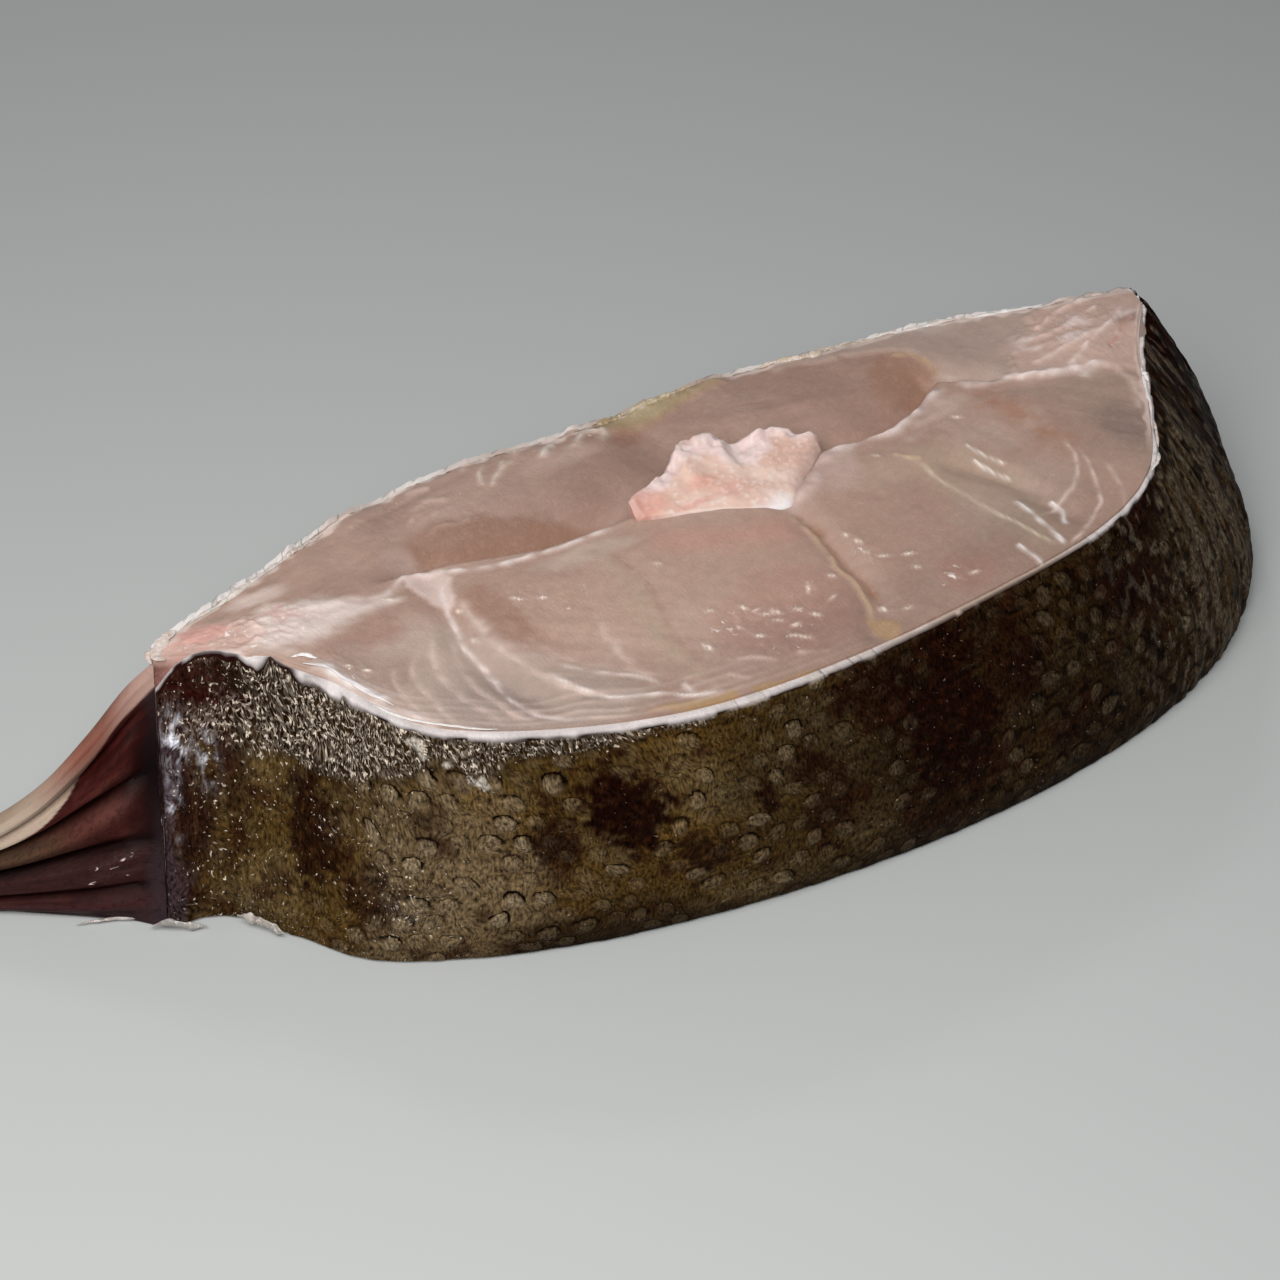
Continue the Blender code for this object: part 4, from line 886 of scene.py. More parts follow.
# Reddish places on the bone: middle, half widths, colour, strength
BONE_BLUSHES = (
    ((100.5, -9), (4.5, 3.2), (214, 152, 138), 0.6), ((113.5, -9), (4, 2), (214, 158, 142), 0.6),
    ((110, -13), (5, 0.8), (210, 146, 136), 0.4),
)


def bone_fields():
    """Spots of the broken top in plan, from the near edge to the far one, with its streaks and grains."""
    columns, rows, _ = BONE_STEPS
    near = smooth_curve(BONE_NEAR, columns + 1)
    far = smooth_curve(BONE_FAR, columns + 1)[::-1]
    edges = (near, np.linspace(near[-1], far[0], rows + 1), far, np.linspace(far[-1], near[0], rows + 1))
    edges = inset([np.pad(edge, ((0, 0), (0, 1))) for edge in edges], (-0.25,) * 4)
    across = np.tile(np.linspace(0.0, 1.0, rows + 1), (columns + 1, 1))
    face = filled(*edges, across)
    x, y = face[:, :, 0], face[:, :, 1]
    return SimpleNamespace(
        face=face, x=x, y=y, across=across, along=np.linspace(0.0, 1.0, columns + 1)[:, None],
        streaky=turned(x, y, -35.0), grains=patches(x, y, 1.0, 714) + patches(x, y, 0.6, 715),
    )


def bone_heights(bone):
    """Heights of the broken top: low and crumbly in front, with a jagged ridge and a knob behind."""
    x, y, across, along = bone.x, bone.y, bone.across, bone.along
    low, high = BONE_TOP
    heights = low - 1.0 + (high - low + 0.4) * across**0.8
    heights += 0.7 * layered(x, y, 5.0, 701) * smooth_step(across / 0.2)
    edge = np.minimum(np.minimum(across, 1.0 - across) * 20.0, np.minimum(along, 1.0 - along) * 44.0)
    streaks = layered(bone.streaky[0] * 0.4, bone.streaky[1], 2.2, 700)
    heights += (0.1 * np.abs(streaks) + 0.07 * bone.grains) * smooth_step(edge / 3.0)
    heights -= (1.0 - smooth_step(edge / 1.6)) ** 2
    jagged = 1.2 * patches(x, y, 3.4, 711) + 1.0 * patches(x, y, 1.5, 712)
    heights += jagged * bump(across, 0.95, 0.14) * smooth_step((x - 104.0) / 4.0)
    knob = smooth_step((x - 110.4) / 1.8) * smooth_step((124.5 - x) / 3.0)
    heights += 2.2 * knob * bump(across, 1.0, 0.4)
    return heights - bump(x, 126.0, 3.0) * bump(across, 1.0, 0.3)


def cartilage_sheet(bone):
    """Where a white sheet of cartilage covers the near edge, from 0 to 1."""
    x, across = bone.x, bone.across
    sheet = bump(across, 0.0, 0.03 + 0.13 * smooth_step((x - 117.0) / 8.0)) * smooth_step((x - 116.0) / 2.0)
    sheet *= smooth_step((128.0 - x) / 2.0) * (0.85 + 0.4 * patches(x, bone.y, 3.0, 713))
    return np.clip(np.maximum(sheet, 0.6 * bump(across, 0.02, 0.03) * bump(x, 110.0, 7.0)), 0.0, 1.0)


def painted_bone(bone, sheet):
    """Colours of the broken top: mottled pink bone, reddish places, and the white sheet of cartilage."""
    x, y = bone.x, bone.y
    mottle = 1.8 * layered(bone.streaky[0] * 0.5, bone.streaky[1], 5.0, 720)
    fringe = smooth_step((bone.across - 0.6 + 0.3 * patches(x, y, 4.0, 716)) / 0.3)
    colours = coated(x.shape, (216, 186, 172))
    paint(colours, (230, 210, 198), 0.8 * np.clip(mottle, 0.0, 1.0))
    paint(colours, (212, 172, 158), 0.8 * np.clip(-mottle, 0.0, 1.0))
    paint(colours, (226, 210, 210), 0.8 * fringe)
    paint(colours, (236, 224, 218), 0.5 * smooth_step(bone.grains * 1.6 - 0.6))
    for number, (middle, halves, shade, strength) in enumerate(BONE_BLUSHES):
        paint(colours, shade, strength * patch_mask(x, y, middle, halves, 730 + 10 * number))
    near_edge = np.abs(near_path(x, y, BONE_NEAR[2:])[0]) + 0.8 * patches(x, y, 2.5, 760)
    paint(colours, (192, 166, 156), smooth_step((3.6 - near_edge) / 3.4) * smooth_step((x - 127.0) / 3.0))
    left_tip = 100.6 - x + 0.8 * patches(x, y, 1.5, 761)
    paint(colours, (186, 142, 130), 0.7 * smooth_step(left_tip / 2.0))
    paint(colours, (242, 238, 240), sheet)
    return colours


def dress_backbone():
    """The cut bone, from its broken top down to the lower cut, where it is a little smaller."""
    levels = BONE_STEPS[2]
    bone = bone_fields()
    high = bone_heights(bone)
    sheet = cartilage_sheet(bone)
    centre = bone.face[:, :, :2].mean(axis=(0, 1))
    places = np.repeat(bone.face[:, :, None], levels + 1, axis=2)
    for level in range(levels + 1):
        height = high * level / levels
        size = 1.0 + (BONE_FOOT_TAPER - 1.0) * (1.0 - height / BONE_TOP[0])
        places[:, :, level, :2] = centre + (bone.face[:, :, :2] - centre) * size[:, :, None]
        places[:, :, level, 2] = height
    tint, wet = painted_bone(bone, sheet)[:, :, None], (0.35 + 0.6 * sheet)[:, :, None]
    return finish_piece("dressed_backbone", places, tint, wet, bone_material())


# ---- Skins ----

DARK_SKIN_LAYERS = (0.0, 0.12, 0.34, 0.7, 1.0)  # of its grid, from its outer face at 0 to its inner one at 1
PALE_SKIN_LAYERS = (0.0, 0.5, 1.0)
SCALE_STRENGTH = (
    (40, 0.6), (50, 1.1), (72, 1.1), (84, 0.7), (130, 0.7), (150, 0.5), (220, 0.45), (245, 0.3),
)  # along the dark skin
PALE_SCALES = ((70, 1), (84, 0.6), (150, 0.3))  # along the dark skin
CRESCENTS = ((115, 0), (150, 1.1), (225, 1.1), (245, 0))  # extra dark ones, along the dark skin
WORM_FOOT = ((0, 32), (30, 34), (42, 36), (60, 41), (90, 45), (115, 49), (150, 62))  # height, along the skin
WORM_STRENGTH = ((0, 0.25), (8, 0.45), (24, 1))
LUMP_STRENGTH = ((0, 0.25), (12, 0.4), (20, 1))
# Darkening along the dark skin: partly the skin's own tone, partly painted shade where less light reaches it
SKIN_DARKNESS = (
    (0, 0.3), (44, 0.18), (60, 0), (80, 0.18), (110, 0.34), (150, 0.88), (180, 0.8), (225, 0.84), (245, 0.48),
    (300, 0.9),
)  # along the dark skin
# Strength of the painted shade where the skin curves under at its foot
FOOT_SHADE = ((58, 0), (72, 0.9), (100, 0.8), (112, 0), (145, 0), (160, 0.6))  # along the dark skin
REDDISH = ((0, 0.3), (14, 0.6), (24, 0.85))  # strength at the fin end, over the height
FLUFFY_RIM = (
    (0, 1), (45, 0.9), (52, 0.3), (70, 0.9), (90, 0.3), (104, 0.9), (112, 0.2), (140, 0.2), (150, 0.9),
    (165, 0.3), (180, 1), (212, 0.9), (222, 0.4),
)  # whiteness of the pale skin's torn rim, along X
BLACK_BROWN = (22, 6, 3)
RED_BROWN = (42, 18, 8)

# Painted light on the dark skin, lighter places: middle, half widths
LIT_SPOTS = (
    ((117, 5), (12, 7)), ((142, 12), (9, 8)), ((104, 38), (7, 8)), ((14, 34), (8, 8)), ((20, 10), (7, 8)),
    ((212, 30), (9, 14)),
)
# Painted highlights on bright wet places at the fin end: strength, middle and half width along the skin, the
# same up it
SHINES = ((1, (2.8, 2.2), (37.5, 3.2)), (0.5, (8.5, 1.6), (33.5, 4)), (0.55, (1.8, 1), (26, 6)))
# Specks towards the blunt end: squash, size, seed, threshold, where they start, colour, strength
SPECKS = ((1, 1.5, 915, 1.1, 130, (12, 5, 2), 0.8), (0.4, 1.1, 916, 1, 196, (112, 102, 86), 0.45))
PALE_FLECKS = ((56, 48, 1.8), (66, 41.5, 1.6), (61, 46, 0.9))  # along the skin, height, radius


def skin_shell(sides, lip, steps, depths):
    """Places of a skin's grid (along, through, up), and the distance along it."""
    columns, levels = steps
    rows = max(8, columns // 12)
    layers = []
    for level in np.linspace(0.0, 1.0, levels + 1):
        risen = smooth_step((level - LIP_LEVEL) / (1.0 - LIP_LEVEL))
        strips = []
        for edges in (wall_edges(level, columns, rows), flesh_edges(level, columns, rows, 0.0)):
            strip = np.vstack([edges[side][int(side > sides[0]):] for side in sides])
            strip[:, 2] = np.maximum(strip[:, 2] + at(lip, strip[:, 0]) * risen, SKIN_CLEARANCE)
            strips.append(strip)
        outer, inner = strips
        layers.append(np.stack([outer + (inner - outer) * depth for depth in depths], axis=1))
    places = np.stack(layers, axis=2)
    middle = places[:, 0, levels // 2, :2]
    run = np.concatenate([[0.0], np.cumsum(np.linalg.norm(np.diff(middle, axis=0), axis=1))])
    return places, run


def skin_fields(places, run):
    """Spots of a skin's outer face: distance along it and height."""
    u = np.repeat(run[:, None], places.shape[2], axis=1)
    return SimpleNamespace(run=run, u=u, v=places[:, 0, :, 2].copy())


def push_out(places, relief):
    """Move a skin's outer face outwards in plan by a relief over (along, up)."""
    way = np.gradient(places[:, 0, :, :2], axis=0)
    way /= np.linalg.norm(way, axis=2)[:, :, None]
    outward = np.stack([way[:, :, 1], -way[:, :, 0]], axis=2)
    places[:, 0, :, :2] += outward * relief[:, :, None]


def scale_lattice(u, v):
    """For each spot: how far it lies from the middle of its scale, along and up, and chances of its own."""
    row = np.floor(v / SCALE_ROW).astype(int)
    start = u / SCALE_SPACING - 0.5 * (row % 2)
    number = np.rint(start).astype(int)
    table = np.random.default_rng(802).uniform(-1.0, 1.0, (SPREAD, SPREAD, 3))
    chances = table[number % SPREAD, row % SPREAD]
    return (start - number) * SCALE_SPACING, v - (row + 0.5) * SCALE_ROW, chances


def pattern_places(skin, depths, thickness):
    """Where the skin's fine patterns are read: along it, up it and through it, in millimetres."""
    inward = thickness * np.array(depths)[None, :, None]
    return np.stack(np.broadcast_arrays(skin.warp_u[:, None], skin.warp_v[:, None], inward), axis=3)


# Dark blotches on the skin: distance along it, height, half widths, strength
BLOTCHES = (
    ((91, 33), (9, 11), 1), ((31, 25), (7, 13), 0.75), ((41, 16), (6, 7), 0.6), ((161, 30), (11, 24), 0.95),
    ((209, 34), (3.5, 5), 1), ((77, 27), (4, 12), 0.7), ((118, 29), (2.5, 4), 0.8),
    ((105, 20), (7, 5), 0.6), ((214, 38), (10, 14), 0.6), ((10, 47), (14, 3.5), 0.8),
    ((145, 44), (8, 8), 0.6), ((176, 38), (6, 12), 0.5), ((128, 34), (4, 4), 0.6),
    ((228, 48), (12, 4), 0.7), ((250, 49), (20, 3), 0.8), ((295, 38), (26, 22), 1), ((22, 12), (4, 5), 0.4),
    ((56, 33), (4, 4), 0.4), ((131, 24), (5, 8), 0.45), ((180, 35), (6, 9), 0.7), ((186, 16), (5, 6), 0.45),
    ((14, 30), (5, 8), 0.5),
)


def dark_skin_places():
    """The dark skin's grid, with its rim fallen at the fin end, and the distance along it."""
    places, run = skin_shell((0, 1), DRESSED_LIP, DARK_SKIN_STEPS, DARK_SKIN_LAYERS)
    fallen = at(END_FALL, run)
    even = np.linspace(0.0, 1.0, places.shape[2])
    for column in np.flatnonzero(fallen > 0.01):
        lower = even * (1.0 - fallen[column] / THICKNESS)
        for depth, axis in np.ndindex(len(DARK_SKIN_LAYERS), 3):
            places[column, depth, :, axis] = np.interp(lower, even, places[column, depth, :, axis])
    return places, run


def place_scales(skin):
    """Scales in loose rows: for each spot a soft disc, the crescent over it and chances of its scale."""
    u, v = skin.u, skin.v
    warp_u = u + 1.7 * patches(u, v, 15.0, 800) + 0.7 * patches(u, v, 5.0, 801)
    warp_v = v + 1.5 * patches(u, v, 15.0, 802) + 0.7 * patches(u, v, 5.0, 803)
    off_u, off_v, skin.chances = scale_lattice(warp_u, warp_v)
    loose = smooth_step((3.4 - np.hypot(off_u, off_v)) / 2.6)
    shift_u, shift_v = 0.8 * skin.chances[..., 1] * loose, 0.7 * skin.chances[..., 2] * loose
    skin.warp_u, skin.warp_v = warp_u + shift_u, warp_v + shift_v
    off_u, off_v = off_u + shift_u, off_v + shift_v
    skin.away = np.hypot(off_u, off_v * 1.05) + 0.25 * patches(u, v, 2.0, 805)
    skin.disc = smooth_step((SCALE_SIZE + 0.5 - skin.away) / 1.2)
    arc = bump(skin.away, SCALE_SIZE + 0.2, 0.4) * smooth_step((off_v + 0.35 * off_u + 0.5) / 1.4)
    skin.arc = arc * smooth_step(0.8 + 1.2 * patches(u, v, 1.6, 806))


def place_marks(skin):
    """Where the dark skin is wriggled, streaked, blotched or scaly, and how strongly."""
    u, v = skin.u, skin.v
    skin.streaks = patches(u, v * 0.12, 1.2, 817)
    worms = smooth_step((v - at(WORM_FOOT, skin.run)[:, None] + 3.0 * patches(u, v, 7.0, 804)) / 4.0)
    skin.worms = worms * smooth_step((140.0 - u) / 30.0) * at(WORM_STRENGTH, u)
    skin.left_end = smooth_step((44.0 - u) / 22.0)
    skin.right_end = smooth_step((u - 205.0) / 25.0)
    streaked = smooth_step((u - 222.0) / 16.0 + 0.5 * layered(u, v, 8.0, 807))
    skin.streaked = streaked * smooth_step((276.0 - u) / 16.0)
    skin.dark, skin.deep = np.zeros(u.shape), np.zeros(u.shape)
    for number, (middle, halves, strength) in enumerate(BLOTCHES):
        off = oval(u, v, middle, halves)
        crumbs = 0.8 * layered(u, v, 5.0, 840 + number) + 0.5 * patches(u, v, 1.3, 870 + number)
        skin.dark = np.maximum(skin.dark, strength * smooth_step(1.5 - off * 1.15 + crumbs))
        skin.deep = np.maximum(skin.deep, strength * smooth_step(1.9 - off * 1.6 + 1.2 * crumbs))
    skin.deep *= smooth_step(1.1 + 1.2 * patches(u, v, 1.2, 912))
    scaly = (0.5 + 0.5 * skin.chances[..., 0]) ** 1.3 * at(SCALE_STRENGTH, u)
    skin.scaly = scaly * (1.0 - 0.9 * skin.worms) * (1.0 - 0.9 * skin.left_end) * (1.0 - 0.95 * skin.dark)


def dark_skin_relief(skin):
    """How far the outer face stands out: scales, wriggles and streaks, and a swelling at the fin end."""
    u, v = skin.u, skin.v
    dome = skin.disc * (1.0 - (skin.away / 2.6) ** 2).clip(0.0)
    relief = skin.scaly * (0.24 * dome - 0.26 * skin.arc)
    wriggle = 1.0 - 2.0 * np.abs(patches(*turned(u * 0.6, v, 30.0), 1.3, 812))
    relief += 0.26 * skin.worms * wriggle + 0.3 * layered(u, v, 16.0, 814) + 0.12 * patches(u, v, 2.4, 815)
    relief += 0.16 * (skin.left_end + 2.0 * skin.right_end) * skin.streaks
    relief += 0.35 * skin.right_end * layered(u, v, 3.5, 808)
    swelling = bump(u, 2.5, 3.2) * smooth_step((46.0 - v) / 10.0)
    return relief + swelling * (1.1 + 0.6 * patches(u * 0.4, v, 5.0, 818))


def along_rim(run, size, seed):
    """Smooth random values from -1 to 1 along a skin's rim."""
    return patches(run, np.zeros(run.shape), size, seed)


def tear_rim(places, run):
    """Make the dark skin's rim lumpy at the fin end, torn round the blunt end and ragged all along."""
    lip_zone = smooth_step((46.0 - run) / 10.0)
    ragged = 0.5 * along_rim(run, 3.0, 820) + (0.3 + 1.3 * lip_zone) * along_rim(run, 1.1, 821)
    lumps = 2.0 * along_rim(run, 5.0, 823) + 2.0 * along_rim(run, 2.4, 824) + along_rim(run, 1.2, 827)
    torn = np.clip(1.6 * along_rim(run, 4.0, 825) + 0.9 * along_rim(run, 1.7, 826), -1.4, 1.4)
    lumps = lumps * lip_zone * at(LUMP_STRENGTH, run) + torn * smooth_step((run - 212.0) / 12.0)
    inner = 0.3 * lumps + 0.15 * along_rim(run, 2.5, 822) + 0.2
    near_top = smooth_step((np.linspace(0.0, 1.0, places.shape[2]) - 0.93) / 0.07)
    rises = (lumps + 0.5 * ragged - 0.3, lumps + 0.4 * ragged, 0.8 * lumps + 0.2, inner)
    for depth, rise in enumerate(rises):
        places[:, depth, :, 2] += rise[:, None] * near_top


def paint_ground(skin):
    """The dark skin's brown ground with its lighter and darker clouds, spots of painted light, and darkening
    along it that is partly painted shade.
    """
    u, v, colours = skin.u, skin.v, skin.colours
    paint(colours, (96, 72, 32), 0.8 * np.clip(1.6 * layered(u, v, 14.0, 830), 0.0, 1.0))
    paint(colours, (86, 74, 50), 0.7 * np.clip(1.6 * layered(u, v, 9.0, 831), 0.0, 1.0))
    greyish = smooth_step(1.6 - oval(u, v, (58.0, 16.0), (17.0, 20.0)) + 0.5 * layered(u, v, 5.0, 832))
    paint(colours, (112, 96, 72), 0.75 * greyish)
    for middle, halves in LIT_SPOTS:
        lit = smooth_step(1.4 - oval(u, v, middle, halves) + 0.4 * layered(u, v, 4.0, 913))
        paint(colours, (118, 100, 66), 0.55 * lit)
    paint(colours, (26, 14, 6), at(SKIN_DARKNESS, u) + 0.25 * layered(u, v, 8.0, 833))
    paint(colours, RED_BROWN, 0.7 * smooth_step(layered(u, v, 5.0, 834) * 2.2 - 0.3))


def paint_scales(skin):
    """Pale scales with dark crescents, the blotches, and the grey streaks round the blunt end, their grey
    partly painted sheen.
    """
    u, colours = skin.u, skin.colours
    pale = skin.disc * skin.scaly * (0.5 + 0.35 * skin.chances[..., 0]) * at(PALE_SCALES, u)
    paint(colours, (132, 118, 96), pale)
    # Grey streaks round the blunt end: the skin's own streaks, their grey partly painted sheen where the skin
    # turns away
    paint(colours, (104, 92, 76), 0.7 * skin.streaked * smooth_step(0.35 + 1.4 * skin.streaks))
    paint(colours, RED_BROWN, skin.dark)
    paint(colours, BLACK_BROWN, skin.deep)
    crescents = at(CRESCENTS, u) * (0.55 + 0.45 * skin.chances[..., 2]) * (1.0 - skin.dark)
    paint(colours, BLACK_BROWN, skin.arc * (skin.scaly + crescents))


def paint_foot_and_rim(skin):
    """Painted shade at the foot and a painted contact shadow by the floor, and the dark wriggled band below
    the rim.
    """
    u, v, colours = skin.u, skin.v, skin.colours
    # Painted shade where the skin curves under at its foot
    foot = smooth_step((13.0 - v + 3.0 * patches(u, v, 9.0, 900)) / 8.0)
    paint(colours, (40, 26, 10), foot * at(FOOT_SHADE, u))
    # Painted contact shadow along the foot, by the floor
    colours *= (1.0 - 0.6 * smooth_step((4.5 - v) / 4.5) * smooth_step((u - 50.0) / 30.0))[..., None]
    paint(colours, (20, 8, 6), 0.8 * smooth_step((v - 34.0) / 8.0) * skin.left_end)
    paint(colours, (34, 22, 12), 0.85 * skin.worms)


def paint_fin_end(skin):
    """Reddish and violet skin next to the fin, painted highlights where it shines, and the red fold over it.
    """
    u, v, colours = skin.u, skin.v, skin.colours
    reddish = smooth_step((12.5 - u + 5.0 * patches(u, v * 0.4, 5.0, 906)) / 7.0)
    paint(colours, (46, 24, 18), reddish * at(REDDISH, v))
    paint(colours, (24, 7, 7), 0.7 * reddish * smooth_step(0.1 + skin.streaks * 1.6))
    violet = smooth_step((4.6 - u + 3.0 * patches(u, v * 0.5, 3.5, 908)) / 3.0)
    violet *= smooth_step((44.0 - v) / 8.0)
    paint(colours, (58, 46, 50), 0.85 * violet)
    paint(colours, (104, 96, 104), 0.6 * violet * smooth_step(-0.1 - skin.streaks * 1.6))
    shine = np.max([strength * bump(u, *across) * bump(v, *up) for strength, across, up in SHINES], axis=0)
    paint(colours, (222, 226, 238), shine * smooth_step(0.2 + 2.6 * patches(u, v * 0.5, 0.9, 911)))
    fold = bump(v + 0.12 * u + 1.5 * patches(u, v, 6.0, 909), 46.0, 1.4) * smooth_step((22.0 - u) / 8.0)
    paint(colours, (40, 10, 8), 0.9 * fold)


def paint_specks(skin):
    """Black and greyish specks towards the blunt end, and a few pale flecks."""
    u, v, colours = skin.u, skin.v, skin.colours
    for squash, size, seed, threshold, start, shade, strength in SPECKS:
        specks = smooth_step((3.4 * patches(u, v * squash, size, seed) - threshold) / 0.9)
        paint(colours, shade, strength * specks * smooth_step((u - start) / 30.0))
    for spot_u, spot_v, radius in PALE_FLECKS:
        inside = radius - np.hypot(u - spot_u, v - spot_v) + 1.2 * patches(u, v, 1.3, 901)
        paint(colours, (170, 165, 155), smooth_step(inside / 0.6))


def painted_through(skin):
    """The outer face's colours, those of the white layer inside, and the blackened lip of the rim."""
    run = skin.run
    bare = smooth_step((run - 120.0) / 60.0) * smooth_step((215.0 - run) / 30.0)
    white = coated(run.shape, (210, 206, 206))
    paint(white, (176, 154, 136), 0.8 * bare)
    paint(white, (228, 224, 224), along_rim(run, 6.0, 903))
    through = np.repeat(skin.colours[:, None], len(DARK_SKIN_LAYERS), axis=1)
    through[:, 2:, -1] = white[:, None]
    blackened = smooth_step(0.35 + bare + 1.3 * along_rim(run, 2.2, 904))
    through[:, 1, -1] = blended(0.6 * through[:, 1, -1] + 0.4 * white, tone(BLACK_BROWN), blackened)
    paint(through[:, 2, -1], (34, 20, 14), blackened * (0.25 + 0.5 * bare))
    through[:, -1, :-1] = white[:, None]
    through[:2, 1:, :-2] = tone((44, 32, 36))
    lip_dark = smooth_step((33.0 - run) / 6.0 + 0.6 * along_rim(run, 4.0, 905))
    lumpy = smooth_step(0.5 + 1.5 * along_rim(run, 1.8, 910))
    for depth, share in ((1, 1.0), (2, 0.4 + 0.6 * lumpy), (3, 0.75 * lumpy)):
        paint(through[:, depth, -1], (34, 12, 10), share * lip_dark)
    return through


def dark_skin_wetness(skin):
    """Wetness and roughness of the dark skin. Its cut rim and inner face are dry and nearly smooth."""
    u, v = skin.u, skin.v
    wet = 0.12 + 0.68 * skin.worms + 0.12 * skin.left_end * smooth_step((v - 24.0) / 16.0)
    wet = np.clip(wet + (0.12 + 0.3 * skin.worms) * layered(u, v, 7.0, 907), 0.0, 0.9)
    wet = np.maximum(wet * (1.0 - 0.6 * skin.deep), 0.13 * smooth_step((250.0 - u) / 30.0))
    wet = np.maximum(wet, 0.5 * bump(u, 4.0, 5.0) * bump(v, 38.0, 7.0))
    wet = np.maximum(wet, 0.55 * bump(u, 48.0, 8.0) * bump(v, 13.0, 7.0))
    dewy = 0.32 * smooth_step((70.0 - u) / 14.0) * (0.85 + 0.5 * patches(u, v, 6.0, 914))
    wet = np.repeat(np.maximum(wet, dewy)[:, None], len(DARK_SKIN_LAYERS), axis=1)
    rough = np.ones(wet.shape)
    wet[:, 1:, -1] = wet[:, -1] = 0.0
    rough[:, 1:, -1] = rough[:, -1] = 0.12
    return wet, rough


def dress_dark_skin():
    """The scaled dark skin with its white inner layer, along the near side and round the blunt end."""
    places, run = dark_skin_places()
    skin = skin_fields(places, run)
    place_scales(skin)
    place_marks(skin)
    push_out(places, dark_skin_relief(skin))
    tear_rim(places, run)
    skin.colours = coated(skin.u.shape, (78, 60, 28))
    for paint_on in (paint_ground, paint_scales, paint_foot_and_rim, paint_fin_end, paint_specks):
        paint_on(skin)
    wet, rough = dark_skin_wetness(skin)
    return finish_piece(
        "dressed_dark_skin", places, painted_through(skin), wet, dark_skin_material(), rough=rough,
        place=pattern_places(skin, DARK_SKIN_LAYERS, SKIN_DEPTHS[1][1]), scaly=skin.scaly[:, None],
        hidden_row=-1,
    )


def dress_pale_skin():
    """The thin pale skin along the far side, with its torn whitish rim."""
    places, run = skin_shell((2,), PALE_LIP, PALE_SKIN_STEPS, PALE_SKIN_LAYERS)
    skin = skin_fields(places, run)
    u, v = skin.u, skin.v
    skin.warp_u, skin.warp_v = u + 1.2 * patches(u, v, 12.0, 949), v + 1.2 * patches(u, v, 12.0, 950)
    off_u, off_v, chances = scale_lattice(skin.warp_u, skin.warp_v)
    away = np.hypot(off_u, off_v)
    broad = 0.3 * layered(u, v, 18.0, 951) + 0.12 * patches(u, v, 3.0, 956)
    push_out(places, 0.1 * smooth_step(2.0 - away) + broad)
    ragged = 0.9 * along_rim(run, 7.0, 953) + 0.7 * along_rim(run, 2.4, 954) + 0.4 * along_rim(run, 1.1, 957)
    places[:, :, -1, 2] += ragged[:, None] * (0.8, 1.1, 0.8)
    colours = coated(u.shape, (198, 188, 176))
    paint(colours, (206, 176, 164), 0.7 * np.clip(1.3 * layered(u, v, 20.0, 952), 0.0, 1.0))
    paint(colours, (168, 158, 146), 0.25 * bump(away, 2.2, 0.5))
    paint(colours, (214, 208, 200), smooth_step(1.6 - away) * (0.25 + 0.25 * chances[..., 0]))
    fluffy = at(FLUFFY_RIM, places[:, 0, -1, 0])
    rim = coated(run.shape, (168, 146, 132))
    paint(rim, (232, 230, 228), fluffy)
    paint(rim, (150, 122, 104), np.clip(along_rim(run, 5.0, 955) - 0.3, 0.0, 1.0) * (1.2 - fluffy))
    through = np.repeat(colours[:, None], len(PALE_SKIN_LAYERS), axis=1)
    through[:, :, -1] = rim[:, None]
    rough = np.ones(through.shape[:3])
    rough[:, :, -1] = 0.2
    return finish_piece(
        "dressed_pale_skin", places, through, np.full((1, 1, 1), 0.1), pale_skin_material(), rough=rough,
        place=pattern_places(skin, PALE_SKIN_LAYERS, PALE_SKIN_DEPTH), scaly=np.full((1, 1, 1), 0.25),
    )


# ---- Fin ----

FIN_LENGTH, RAY_SPACING = 62.0, 9.0  # rough measures of the fin, for its patterns
# Coats along the rays: colour, middle and half width over the rays, start and run of the fade-in, strength
FIN_COATS = (
    ((80, 62, 46), (2.6, 0.4), (0.2, 0.3), 0.8), ((50, 32, 31), (1.5, 0.4), (-1, 0.3), 0.8),
    ((50, 38, 40), (0.1, 0.6), (-1, 0.3), 0.85), ((78, 34, 28), (0.75, 0.3), (0.5, 0.3), 0.7),
)
# Near black painted into the fin's hollows and valleys: painted shade
FIN_HOLLOW_SHADE = (6, 1, 1)
# Wet places on the fin, where painted glints show: way along it, place among the rays, and half widths both
# ways
FIN_GLINTS = ((0.16, 1.72, 0.07, 0.16), (0.66, 0.4, 0.05, 0.12), (0.2, 1.3, 0.1, 0.1))


def fin_line(ray, part, along):
    """One line of the fin's near face from root to tip, `part` of the way across one of its rays."""
    fold = math.sin(math.pi * part) ** RAY_FULLNESS
    reach = RAY_LENGTHS[min(ray, len(RAY_LENGTHS) - 1)] * fold + FOLD_LENGTH * (1.0 - fold)
    reach = along * (1.0 + (reach - 1.0) * along)
    low, high = (
        np.stack([np.interp(reach, along, edge[:, axis]) for axis in range(3)], axis=1)
        for edge in (smooth_curve(FIN_FOOT, len(along)), smooth_curve(FIN_TOP, len(along)))
    )
    at_fold = [root + (tip - root) * reach for root, tip in FIN_FOLDS]
    across = at_fold[ray] if part == 0.0 else at_fold[ray] * (1.0 - part) + at_fold[ray + 1] * part
    line = low + (high - low) * across[:, None]
    rise = RAY_RISES[min(ray, len(RAY_RISES) - 1)] * fold * smooth_step(along / ROOT_BLEND)
    line[:, :2] -= rise[:, None] * np.array(FIN_SIDEWAYS)
    line[:, 0] -= TOUCH_GAP
    return line


